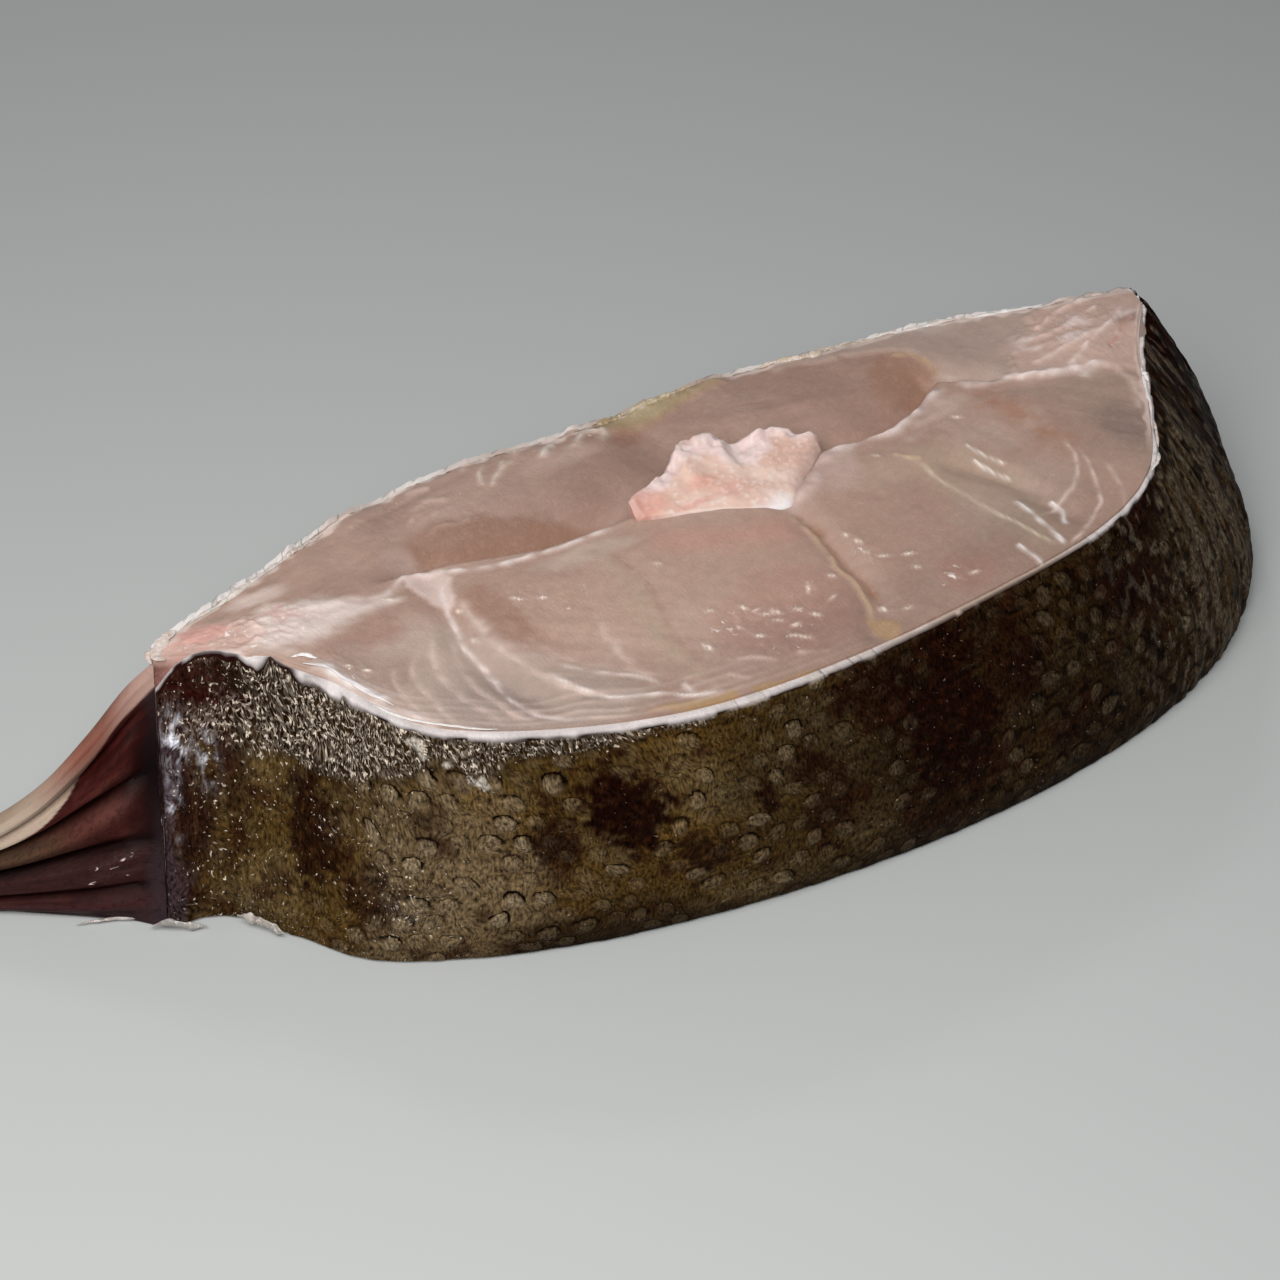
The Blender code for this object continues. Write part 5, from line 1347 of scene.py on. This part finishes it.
def fin_fields():
    """The fin's near face, and for its spots the way along from root to tip and the place among the rays."""
    rays = len(RAY_LENGTHS)
    along = np.linspace(0.0, 1.0, FIN_COLUMNS + 1)
    steps = [(ray, step / RAY_ROWS) for ray in range(rays) for step in range(RAY_ROWS)] + [(rays, 0.0)]
    reach, ray = along[:, None], np.array([ray + part for ray, part in steps])[None, :]
    length, height = np.broadcast_arrays(FIN_LENGTH * reach, RAY_SPACING * ray)
    return SimpleNamespace(
        near_face=np.stack([fin_line(ray, part, along) for ray, part in steps], axis=1),
        reach=reach, ray=ray, length=length, height=height,
        valley=np.minimum(ray % 1.0, 1.0 - ray % 1.0),
        fine_lines=patches(length * 0.08, height, 1.3, 1000), folds=patches(length * 0.12, height, 3.6, 1001),
    )


def fin_places(fin):
    """The fin's near face with its fine lines, folds and hollow root, and its far face behind it."""
    reach, ray, sideways = fin.reach, fin.ray, np.array(FIN_SIDEWAYS)
    free = smooth_step(reach / 0.12)
    relief = free * (0.35 * fin.fine_lines + 0.8 * fin.folds * smooth_step(1.0 - reach))
    soft_fold = 1.0 - 0.8 * (ray > 3.5) * smooth_step((reach - 0.15) / 0.3)
    relief -= 0.9 * free * bump(fin.valley, 0.0, 0.12) * (ray > 0.5) * (ray < 4.9) * soft_fold
    relief -= 2.2 * smooth_step((0.13 - reach) / 0.12) * bump(ray, 2.9, 1.3)
    near_face = fin.near_face.copy()
    near_face[:, :, :2] -= relief[:, :, None] * sideways
    root_way = np.subtract(FAR_FOOT[0][:2], NEAR_FOOT[0][:2])
    root_way = root_way / np.linalg.norm(root_way)
    way = root_way + (sideways - root_way) * smooth_step(reach / ROOT_BLEND)
    width = FIN_WIDTHS[0] + (FIN_WIDTHS[1] - FIN_WIDTHS[0]) * smooth_step(reach)
    thin_edge = 1.0 - 0.8 * smooth_step((ray - 3.9) / 1.1)
    far_face = near_face.copy()
    far_face[:, :, :2] += (way * width)[:, None] * thin_edge[..., None]
    return np.stack([near_face, far_face], axis=1)


def painted_rays(fin):
    """Maroon folds between the rays, with painted shade, near black, in the hollows and a few browner or
    greyer coats.
    """
    reach, ray = fin.reach, fin.ray
    speckle = layered(fin.length * 0.5, fin.height, 2.6, 1004)
    colours = coated(speckle.shape, (60, 22, 19))
    paint(colours, (78, 42, 36), speckle)
    paint(colours, (24, 8, 8), 0.8 * np.clip(-speckle, 0.0, 1.0))
    for shade, across, (start, fade), strength in FIN_COATS:
        paint(colours, shade, strength * bump(ray, *across) * smooth_step((reach - start) / fade))
    paint(colours, (96, 56, 50), 0.9 * bump(ray, 2.75, 0.22) * bump(reach, 0.22, 0.13))
    paint(colours, FIN_HOLLOW_SHADE, 0.9 * bump(fin.valley, 0.0, 0.15) * (ray > 0.5) * (ray < 3.9))
    colours *= (1.0 + 0.35 * layered(fin.length * 0.3, fin.height, 2.0, 1005))[..., None]
    paint(colours, FIN_HOLLOW_SHADE, 0.9 * bump(ray, 2.9, 1.3) * smooth_step((0.16 - reach) / 0.13))
    paint(colours, FIN_HOLLOW_SHADE, 0.95 * bump(ray, 2.0, 0.3) * smooth_step((reach - 0.25) / 0.3))
    return colours


def painted_blade(fin):
    """The pale blade along the fin's upper edge, creamy towards the tip, with painted shade along a crease.
    """
    reach, ray = fin.reach, fin.ray
    colours = coated(fin.length.shape, (122, 86, 75))
    paint(colours, (138, 88, 74), 0.8 * bump(ray, 4.85, 0.25) * bump(reach, 0.4, 0.22))
    paint(colours, (176, 148, 138), 0.9 * smooth_step((0.22 - reach) / 0.2))
    # A thin darker line along a crease in the blade: painted shade
    paint(colours, (96, 46, 36), 0.7 * bump(ray, 4.72, 0.05) * bump(reach, 0.36, 0.25))
    paint(colours, (178, 162, 146), smooth_step((reach + 0.12 * (4.6 - ray) - 0.26) / 0.3))
    paint(colours, (126, 106, 88), 0.6 * smooth_step((ray - 4.7) / 0.14) * smooth_step((reach - 0.4) / 0.25))
    colours *= (1.0 + 0.05 * patches(fin.length * 0.06, fin.height, 0.7, 1003))[..., None]
    return colours


def dress_fin():
    """The folded fin: dark wet folds over its rays, and a pale blade along its upper edge."""
    fin = fin_fields()
    reach, ray, length, height = fin.reach, fin.ray, fin.length, fin.height
    none = np.zeros(length.shape)
    start = 4.42 - 1.1 * smooth_step((reach - 0.12) / 0.42) + 0.12 * patches(length, none, 7.0, 1002)
    blade = smooth_step((ray - start) / 0.07)
    colours = blended(painted_rays(fin), painted_blade(fin), blade)
    lines = (0.15 * fin.fine_lines + 0.1 * fin.folds) * (1.0 - 0.8 * blade)
    colours *= (1.0 + lines)[..., None].clip(0.5)
    # Near the root: violet-grey at the lower and upper rays like the skin beside it, and painted shade near
    # black in the hollow between fin and skin
    root = smooth_step((0.07 - reach + 0.03 * patches(height, none, 4.0, 1006)) / 0.05) * (1.0 - blade)
    root_colours = blended(tone((52, 40, 44)), tone((14, 5, 6)), bump(ray, 3.0, 1.2))
    colours = blended(colours, root_colours, 0.85 * root)
    wet = np.full(length.shape, 0.04)
    for along, across, half_along, half_across in FIN_GLINTS:
        wet = np.maximum(wet, bump(reach, along, half_along) * bump(ray, across, half_across))
    return finish_piece(
        "dressed_fin", fin_places(fin), colours[:, None], wet[:, None], fin_material(),
        rough=1.0 - 0.75 * blade[:, None], place=np.stack([length, height, none], axis=2)[:, None],
    )


# ---- Materials ----

def add(tree, kind, inputs=(), **settings):
    """A new node, its inputs linked or set."""
    made = tree.nodes.new(kind)
    made.location = (len(tree.nodes) % 8 * 200, -(len(tree.nodes) // 8) * 300)
    for name, value in settings.items():
        setattr(made, name, value)
    for name, value in dict(inputs).items():
        if isinstance(value, bpy.types.NodeSocket):
            tree.links.new(value, made.inputs[name])
        else:
            made.inputs[name].default_value = value
    return made


def result(tree, operation, *values):
    """The result of one step of arithmetic."""
    return add(tree, "ShaderNodeMath", dict(enumerate(values)), operation=operation).outputs[0]


def ramp(tree, value, start, end, low=0.0, high=1.0):
    """A soft step from low to high while the value goes from start to end."""
    inputs = {"Value": value, "From Min": start, "From Max": end, "To Min": low, "To Max": high}
    return add(tree, "ShaderNodeMapRange", inputs, interpolation_type="SMOOTHSTEP").outputs["Result"]


def noise_of(tree, place, scale, detail=1.0, distortion=0.0):
    """Smooth random values from 0 to 1."""
    inputs = {"Vector": place, "Scale": scale, "Detail": detail, "Distortion": distortion}
    return add(tree, "ShaderNodeTexNoise", inputs).outputs["Fac"]


def mixed(tree, share, first, second):
    """One colour mixed into another. A colour is a socket or a shade."""
    if not isinstance(second, bpy.types.NodeSocket):
        second = (*tone(second), 1.0)
    return add(tree, "ShaderNodeMix", {0: share, 6: first, 7: second}, data_type="RGBA").outputs[2]


def new_group(name, inputs, outputs):
    """An empty node group with named sockets, and the values it is given."""
    group = bpy.data.node_groups.new(name, "ShaderNodeTree")
    for label, value in inputs:
        kind = "NodeSocketVector" if isinstance(value, tuple) else "NodeSocketFloat"
        group.interface.new_socket(label, in_out="INPUT", socket_type=kind).default_value = value
    for label in outputs:
        group.interface.new_socket(label, in_out="OUTPUT", socket_type="NodeSocketFloat")
    return group, add(group, "NodeGroupInput").outputs


def moist_group():
    """Moist surface: fine grain, flecks, and short painted glints where it is wet. Places are millimetres."""
    group, given = new_group(
        "moist surface",
        (("Place", (0.0, 0.0, 0.0)), ("Stretch", (1.0, 1.0, 1.0)), ("Grain", 2.5), ("Contrast", 0.3),
         ("Stroke", 1.0), ("Wet", 0.0), ("Rough", 1.0), ("Sparkle", 0.0), ("Web", 0.0)),
        ("Shade", "Fleck", "Glint", "Height"),
    )
    calc, fade, cloud = (partial(step, group) for step in (result, ramp, noise_of))
    place, wet = given["Place"], given["Wet"]
    stretching = {0: place, 1: given["Stretch"]}
    stretched = add(group, "ShaderNodeVectorMath", stretching, operation="MULTIPLY").outputs["Vector"]
    # Grain and flecks
    fine = cloud(stretched, given["Grain"], 3.0)
    shade = calc("SUBTRACT", fine, 0.5)
    shade = calc("MULTIPLY_ADD", shade, calc("MULTIPLY", given["Contrast"], given["Rough"]), 1.0)
    shade = calc("MAXIMUM", shade, 0.15)
    flecks = cloud(place, calc("MULTIPLY", given["Grain"], 0.5), 2.0, 0.8)
    fleck = calc("MULTIPLY", fade(flecks, 0.52, 0.64), given["Rough"])
    # Painted glints along the crests of broken waves, unbroken where Web is given
    waves = cloud(stretched, given["Stroke"], 1.0, 0.5)
    off_crest = calc("DIVIDE", calc("ABSOLUTE", calc("SUBTRACT", waves, 0.5)), given["Stroke"])
    ridge = fade(off_crest, STROKE_WIDTH * 0.25, STROKE_WIDTH, 1.0, 0.0)
    breaks = cloud(place, calc("MULTIPLY", given["Stroke"], 0.7))
    threshold = calc("MULTIPLY_ADD", wet, -0.28, 0.72)
    broken = calc("MULTIPLY", calc("SUBTRACT", breaks, threshold), 14.0)
    whole = calc("MULTIPLY", given["Web"], fade(wet, 0.3, 0.75))
    glint = calc("MULTIPLY", ridge, calc("MAXIMUM", fade(broken, 0.0, 1.0), whole))
    glint = calc("MULTIPLY", glint, fade(cloud(place, 0.7), 0.36, 0.66, 0.3, 1.0))
    # Scattered painted dots of light
    dots = add(group, "ShaderNodeTexVoronoi", {"Vector": place, "Scale": 0.9})
    dot = fade(dots.outputs["Distance"], 0.05, 0.13, 1.0, 0.0)
    chances = add(group, "ShaderNodeSeparateXYZ", {"Vector": dots.outputs["Color"]}).outputs
    chance = fade(calc("ADD", chances["X"], given["Sparkle"]), 1.0, 1.02)
    dot = calc("MULTIPLY", dot, fade(chances["Y"], 0.2, 1.0, 0.15, 0.9))
    glint = calc("MAXIMUM", glint, calc("MULTIPLY", dot, chance))
    glint = calc("MULTIPLY", glint, fade(wet, 0.05, 0.3))
    height = calc("MULTIPLY", calc("MULTIPLY", fine, 0.25), given["Rough"])
    height = calc("MULTIPLY_ADD", calc("MULTIPLY", waves, wet), 0.8, height)
    height = calc("MULTIPLY_ADD", glint, 0.15, height)
    add(group, "NodeGroupOutput", {"Shade": shade, "Fleck": fleck, "Glint": glint, "Height": height})
    return group


def scales_group():
    """Scales in staggered rows: a soft disc and a dark crescent over it, from places in millimetres."""
    group, given = new_group("fish scales", (("Place", (0.0, 0.0, 0.0)),), ("Disc", "Crescent"))
    calc, fade = partial(result, group), partial(ramp, group)
    spot = add(group, "ShaderNodeSeparateXYZ", {"Vector": given["Place"]}).outputs
    row = calc("FLOOR", calc("DIVIDE", spot["Y"], SCALE_ROW))
    stagger = calc("MULTIPLY", calc("FLOORED_MODULO", row, 2.0), -0.5)
    start = calc("ADD", calc("DIVIDE", spot["X"], SCALE_SPACING), stagger)
    off_u = calc("MULTIPLY", calc("SUBTRACT", start, calc("ROUND", start)), SCALE_SPACING)
    off_v = calc("SUBTRACT", spot["Y"], calc("MULTIPLY", calc("ADD", row, 0.5), SCALE_ROW))
    wavy = noise_of(group, given["Place"], 1.1)
    square_u = calc("POWER", calc("ABSOLUTE", off_u), 2.0)
    square_v = calc("POWER", calc("ABSOLUTE", calc("MULTIPLY", off_v, 1.05)), 2.0)
    away = calc("SQRT", calc("ADD", square_u, square_v))
    away = calc("ADD", away, calc("MULTIPLY", calc("SUBTRACT", wavy, 0.5), 0.9))
    disc = fade(away, SCALE_SIZE - 0.5, SCALE_SIZE + 0.2, 1.0, 0.0)
    ring = calc("ABSOLUTE", calc("SUBTRACT", away, SCALE_SIZE + 0.25))
    upper = fade(calc("MULTIPLY_ADD", off_u, 0.35, off_v), -0.4, 1.2)
    crescent = calc("MULTIPLY", fade(ring, 0.05, 0.3, 1.0, 0.0), upper)
    add(group, "NodeGroupOutput", {"Disc": disc, "Crescent": crescent})
    return group


def with_scales(tree, colour, height, place, scaly, strength):
    """Colour and height with faint scales on them."""
    scale = add(tree, "ShaderNodeGroup", {"Place": place}, node_tree=SCALES).outputs
    disc = result(tree, "MULTIPLY", scale["Disc"], scaly)
    crescent = result(tree, "MULTIPLY", scale["Crescent"], scaly)
    colour = mixed(tree, result(tree, "MULTIPLY", disc, strength), colour, (116, 102, 78))
    colour = mixed(tree, result(tree, "MULTIPLY", crescent, 1.5), colour, (12, 6, 2))
    height = result(tree, "MULTIPLY_ADD", disc, 0.5, height)
    return colour, result(tree, "MULTIPLY_ADD", crescent, -0.7, height)


def moist_material(
    name, *, grain, contrast, stroke, fleck, flecks, glint, glints, gloss, body, stretch=(1.0, 1.0, 1.0),
    sparkle=0.0, web=0.0, scales=0.0, density=1.4, relief=0.0004,
):
    """Painted flesh or skin with its grain, painted glints and its gloss where it is wet, and light that goes
    a little way in.

    `gloss` is its roughness where dry and where wet, and `body` how much light goes in and how far.
    """
    material = bpy.data.materials.new(name)
    material.use_nodes = True
    tree = material.node_tree
    shader = tree.nodes["Principled BSDF"]
    tint, wet, place, rough, scaly = (
        add(tree, "ShaderNodeAttribute", attribute_name=field).outputs
        for field in ("tint", "wet", "place", "rough", "scaly")
    )
    surface = add(tree, "ShaderNodeGroup", {
        "Place": place["Vector"], "Wet": wet["Fac"], "Grain": grain, "Contrast": contrast, "Stroke": stroke,
        "Stretch": stretch, "Rough": rough["Fac"], "Sparkle": sparkle, "Web": web,
    }, node_tree=MOIST).outputs
    colour, height = tint["Color"], surface["Height"]
    if scales:
        colour, height = with_scales(tree, colour, height, place["Vector"], scaly["Fac"], scales)
    colour = mixed(tree, result(tree, "MULTIPLY", surface["Fleck"], flecks), colour, fleck)
    shading = {0: colour, "Scale": surface["Shade"]}
    colour = add(tree, "ShaderNodeVectorMath", shading, operation="SCALE").outputs["Vector"]
    # Painted highlights: the glint colour mixed into the base colour
    colour = mixed(tree, result(tree, "MULTIPLY", surface["Glint"], glints), colour, glint)
    bumps = {"Strength": 1.0, "Distance": relief, "Height": height}
    for label, socket in (
        ("Base Color", colour), ("Roughness", ramp(tree, wet["Fac"], 0.0, 1.0, *gloss)),
        ("Normal", add(tree, "ShaderNodeBump", bumps).outputs["Normal"]),
    ):
        tree.links.new(socket, shader.inputs[label])
    for label, value in (
        ("IOR", density), ("Subsurface Weight", body[0]), ("Subsurface Scale", body[1]),
        ("Subsurface Radius", (1.0, 0.5, 0.35)),
    ):
        shader.inputs[label].default_value = value
    return material


def wet_flesh_material():
    return moist_material(
        "wet flesh", grain=1.6, contrast=0.12, stroke=0.55, stretch=(1.0, 0.7, 1.0), fleck=(206, 182, 170),
        flecks=0.08, glint=(244, 238, 234), glints=0.85, gloss=(0.38, 0.2), body=(0.18, 0.0014),
    )


def bone_material():
    return moist_material(
        "broken bone", grain=1.4, contrast=0.1, stroke=0.6, stretch=(0.6, 1.0, 1.0), fleck=(236, 196, 186),
        flecks=0.2, glint=(250, 246, 244), glints=0.5, gloss=(0.45, 0.3), body=(0.35, 0.0025), relief=0.0002,
    )


def dark_skin_material():
    return moist_material(
        "dark skin", grain=2.0, contrast=4.0, stroke=1.6, stretch=(1.0, 0.4, 1.0), fleck=(26, 12, 4),
        flecks=0.5, glint=(228, 216, 198), glints=0.95, sparkle=0.02, gloss=(0.45, 0.25), density=1.06,
        body=(0.0, 0.001), scales=0.3, web=0.2,
    )


def pale_skin_material():
    return moist_material(
        "pale skin", grain=2.2, contrast=0.3, stroke=0.8, fleck=(180, 168, 150), flecks=0.3,
        glint=(235, 230, 222), glints=0.5, gloss=(0.45, 0.3), body=(0.1, 0.0015), scales=0.2,
    )


def fin_material():
    return moist_material(
        "fin skin", grain=1.8, contrast=0.7, stroke=0.55, stretch=(0.3, 1.2, 1.0), fleck=(24, 8, 8),
        flecks=0.35, glint=(226, 214, 214), glints=0.9, gloss=(0.42, 0.22), density=1.15, body=(0.1, 0.001),
    )


def membrane_material():
    return moist_material(
        "wet membrane", grain=1.5, contrast=0.15, stroke=0.7, fleck=(236, 222, 214), flecks=0.2,
        glint=(250, 248, 246), glints=0.8, gloss=(0.35, 0.2), body=(0.3, 0.0015),
    )


# ---- Floor, light and camera ----

def aside(right, away, up):
    """Place in metres seen from the camera: to its right, away from it and up, from the slice's middle."""
    x = right * math.cos(PHOTO_TURN) + away * math.sin(PHOTO_TURN)
    y = -right * math.sin(PHOTO_TURN) + away * math.cos(PHOTO_TURN)
    return Vector((x, y, up))


def add_floor():
    block = bmesh.new()
    bmesh.ops.create_grid(block, x_segments=1, y_segments=1, size=3.0)
    mesh = bpy.data.meshes.new("floor")
    block.to_mesh(mesh)
    block.free()
    floor = bpy.data.objects.new("floor", mesh)
    bpy.context.scene.collection.objects.link(floor)
    material = bpy.data.materials.new("plain floor")
    material.use_nodes = True
    shader = material.node_tree.nodes["Principled BSDF"]
    shader.inputs["Base Color"].default_value = (0.50, 0.515, 0.51, 1.0)
    shader.inputs["Roughness"].default_value = 0.7
    mesh.materials.append(material)


def add_light(name, place, size, power, colour=(1.0, 1.0, 1.0)):
    lamp = bpy.data.lights.new(name, "AREA")
    lamp.shape = "DISK"
    lamp.size = size
    lamp.energy = power
    lamp.color = colour
    light = bpy.data.objects.new(name, lamp)
    light.location = place
    light.rotation_euler = (-place).to_track_quat("-Z", "Y").to_euler()
    bpy.context.scene.collection.objects.link(light)


def add_lights():
    world = bpy.data.worlds.new("soft room")
    world.use_nodes = True
    background = world.node_tree.nodes["Background"]
    background.inputs["Color"].default_value = (0.93, 0.97, 1.0, 1.0)
    background.inputs["Strength"].default_value = 0.2
    bpy.context.scene.world = world
    add_light("key", aside(-0.1, -0.37, 0.52), 0.5, 4.2, (1.0, 0.99, 0.97))
    add_light("glint", aside(-0.2, 0.6, 0.75), 0.15, 0.6)


def add_camera():
    place = Vector(CAMERA_PLACE) * MM + Vector(SHIFT)
    target = Vector(CAMERA_TARGET) * MM + Vector(SHIFT)
    data = bpy.data.cameras.new("camera")
    data.lens = CAMERA_LENS
    data.sensor_width = 36.0
    data.clip_start = 0.01
    camera = bpy.data.objects.new("camera", data)
    camera.location = place
    camera.rotation_euler = (target - place).to_track_quat("-Z", "Y").to_euler()
    bpy.context.scene.collection.objects.link(camera)
    bpy.context.scene.camera = camera


def shift_to_frame():
    """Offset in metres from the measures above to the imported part's own frame."""
    low, high = np.array(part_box("flesh")[0]), np.array(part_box("flesh")[1])
    own = np.vstack([np.vstack(flesh_edges(level, 68, 14, TOUCH_GAP)) for level in FLESH_LEVELS])
    offset = 0.5 * (low + high) - 0.5 * MM * (own.min(axis=0) + own.max(axis=0))
    return np.array([offset[0], offset[1], 0.0])


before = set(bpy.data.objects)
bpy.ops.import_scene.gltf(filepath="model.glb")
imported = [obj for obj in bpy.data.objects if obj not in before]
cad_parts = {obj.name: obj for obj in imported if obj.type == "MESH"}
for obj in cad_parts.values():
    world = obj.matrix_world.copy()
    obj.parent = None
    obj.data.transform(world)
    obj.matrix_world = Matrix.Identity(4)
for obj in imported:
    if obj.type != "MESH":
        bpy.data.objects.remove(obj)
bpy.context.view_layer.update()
SHIFT = shift_to_frame()
MOIST = moist_group()
SCALES = scales_group()
MEMBRANE_LOOK = membrane_material()

add_camera()
add_lights()
add_floor()
flesh, cut_surface = dress_flesh()
for piece, node in (
    (flesh, "flesh"),
    (dress_backbone(), "backbone"),
    (dress_dark_skin(), "dark_skin"),
    (dress_pale_skin(), "pale_skin"),
    (dress_fin(), "fin"),
):
    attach(piece, "root")
    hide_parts(node)

for number, strand in enumerate(STRANDS):
    piece = dress_strand(number, cut_surface, *strand)
    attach(piece, "root")

bpy.context.scene.view_settings.view_transform = "Standard"
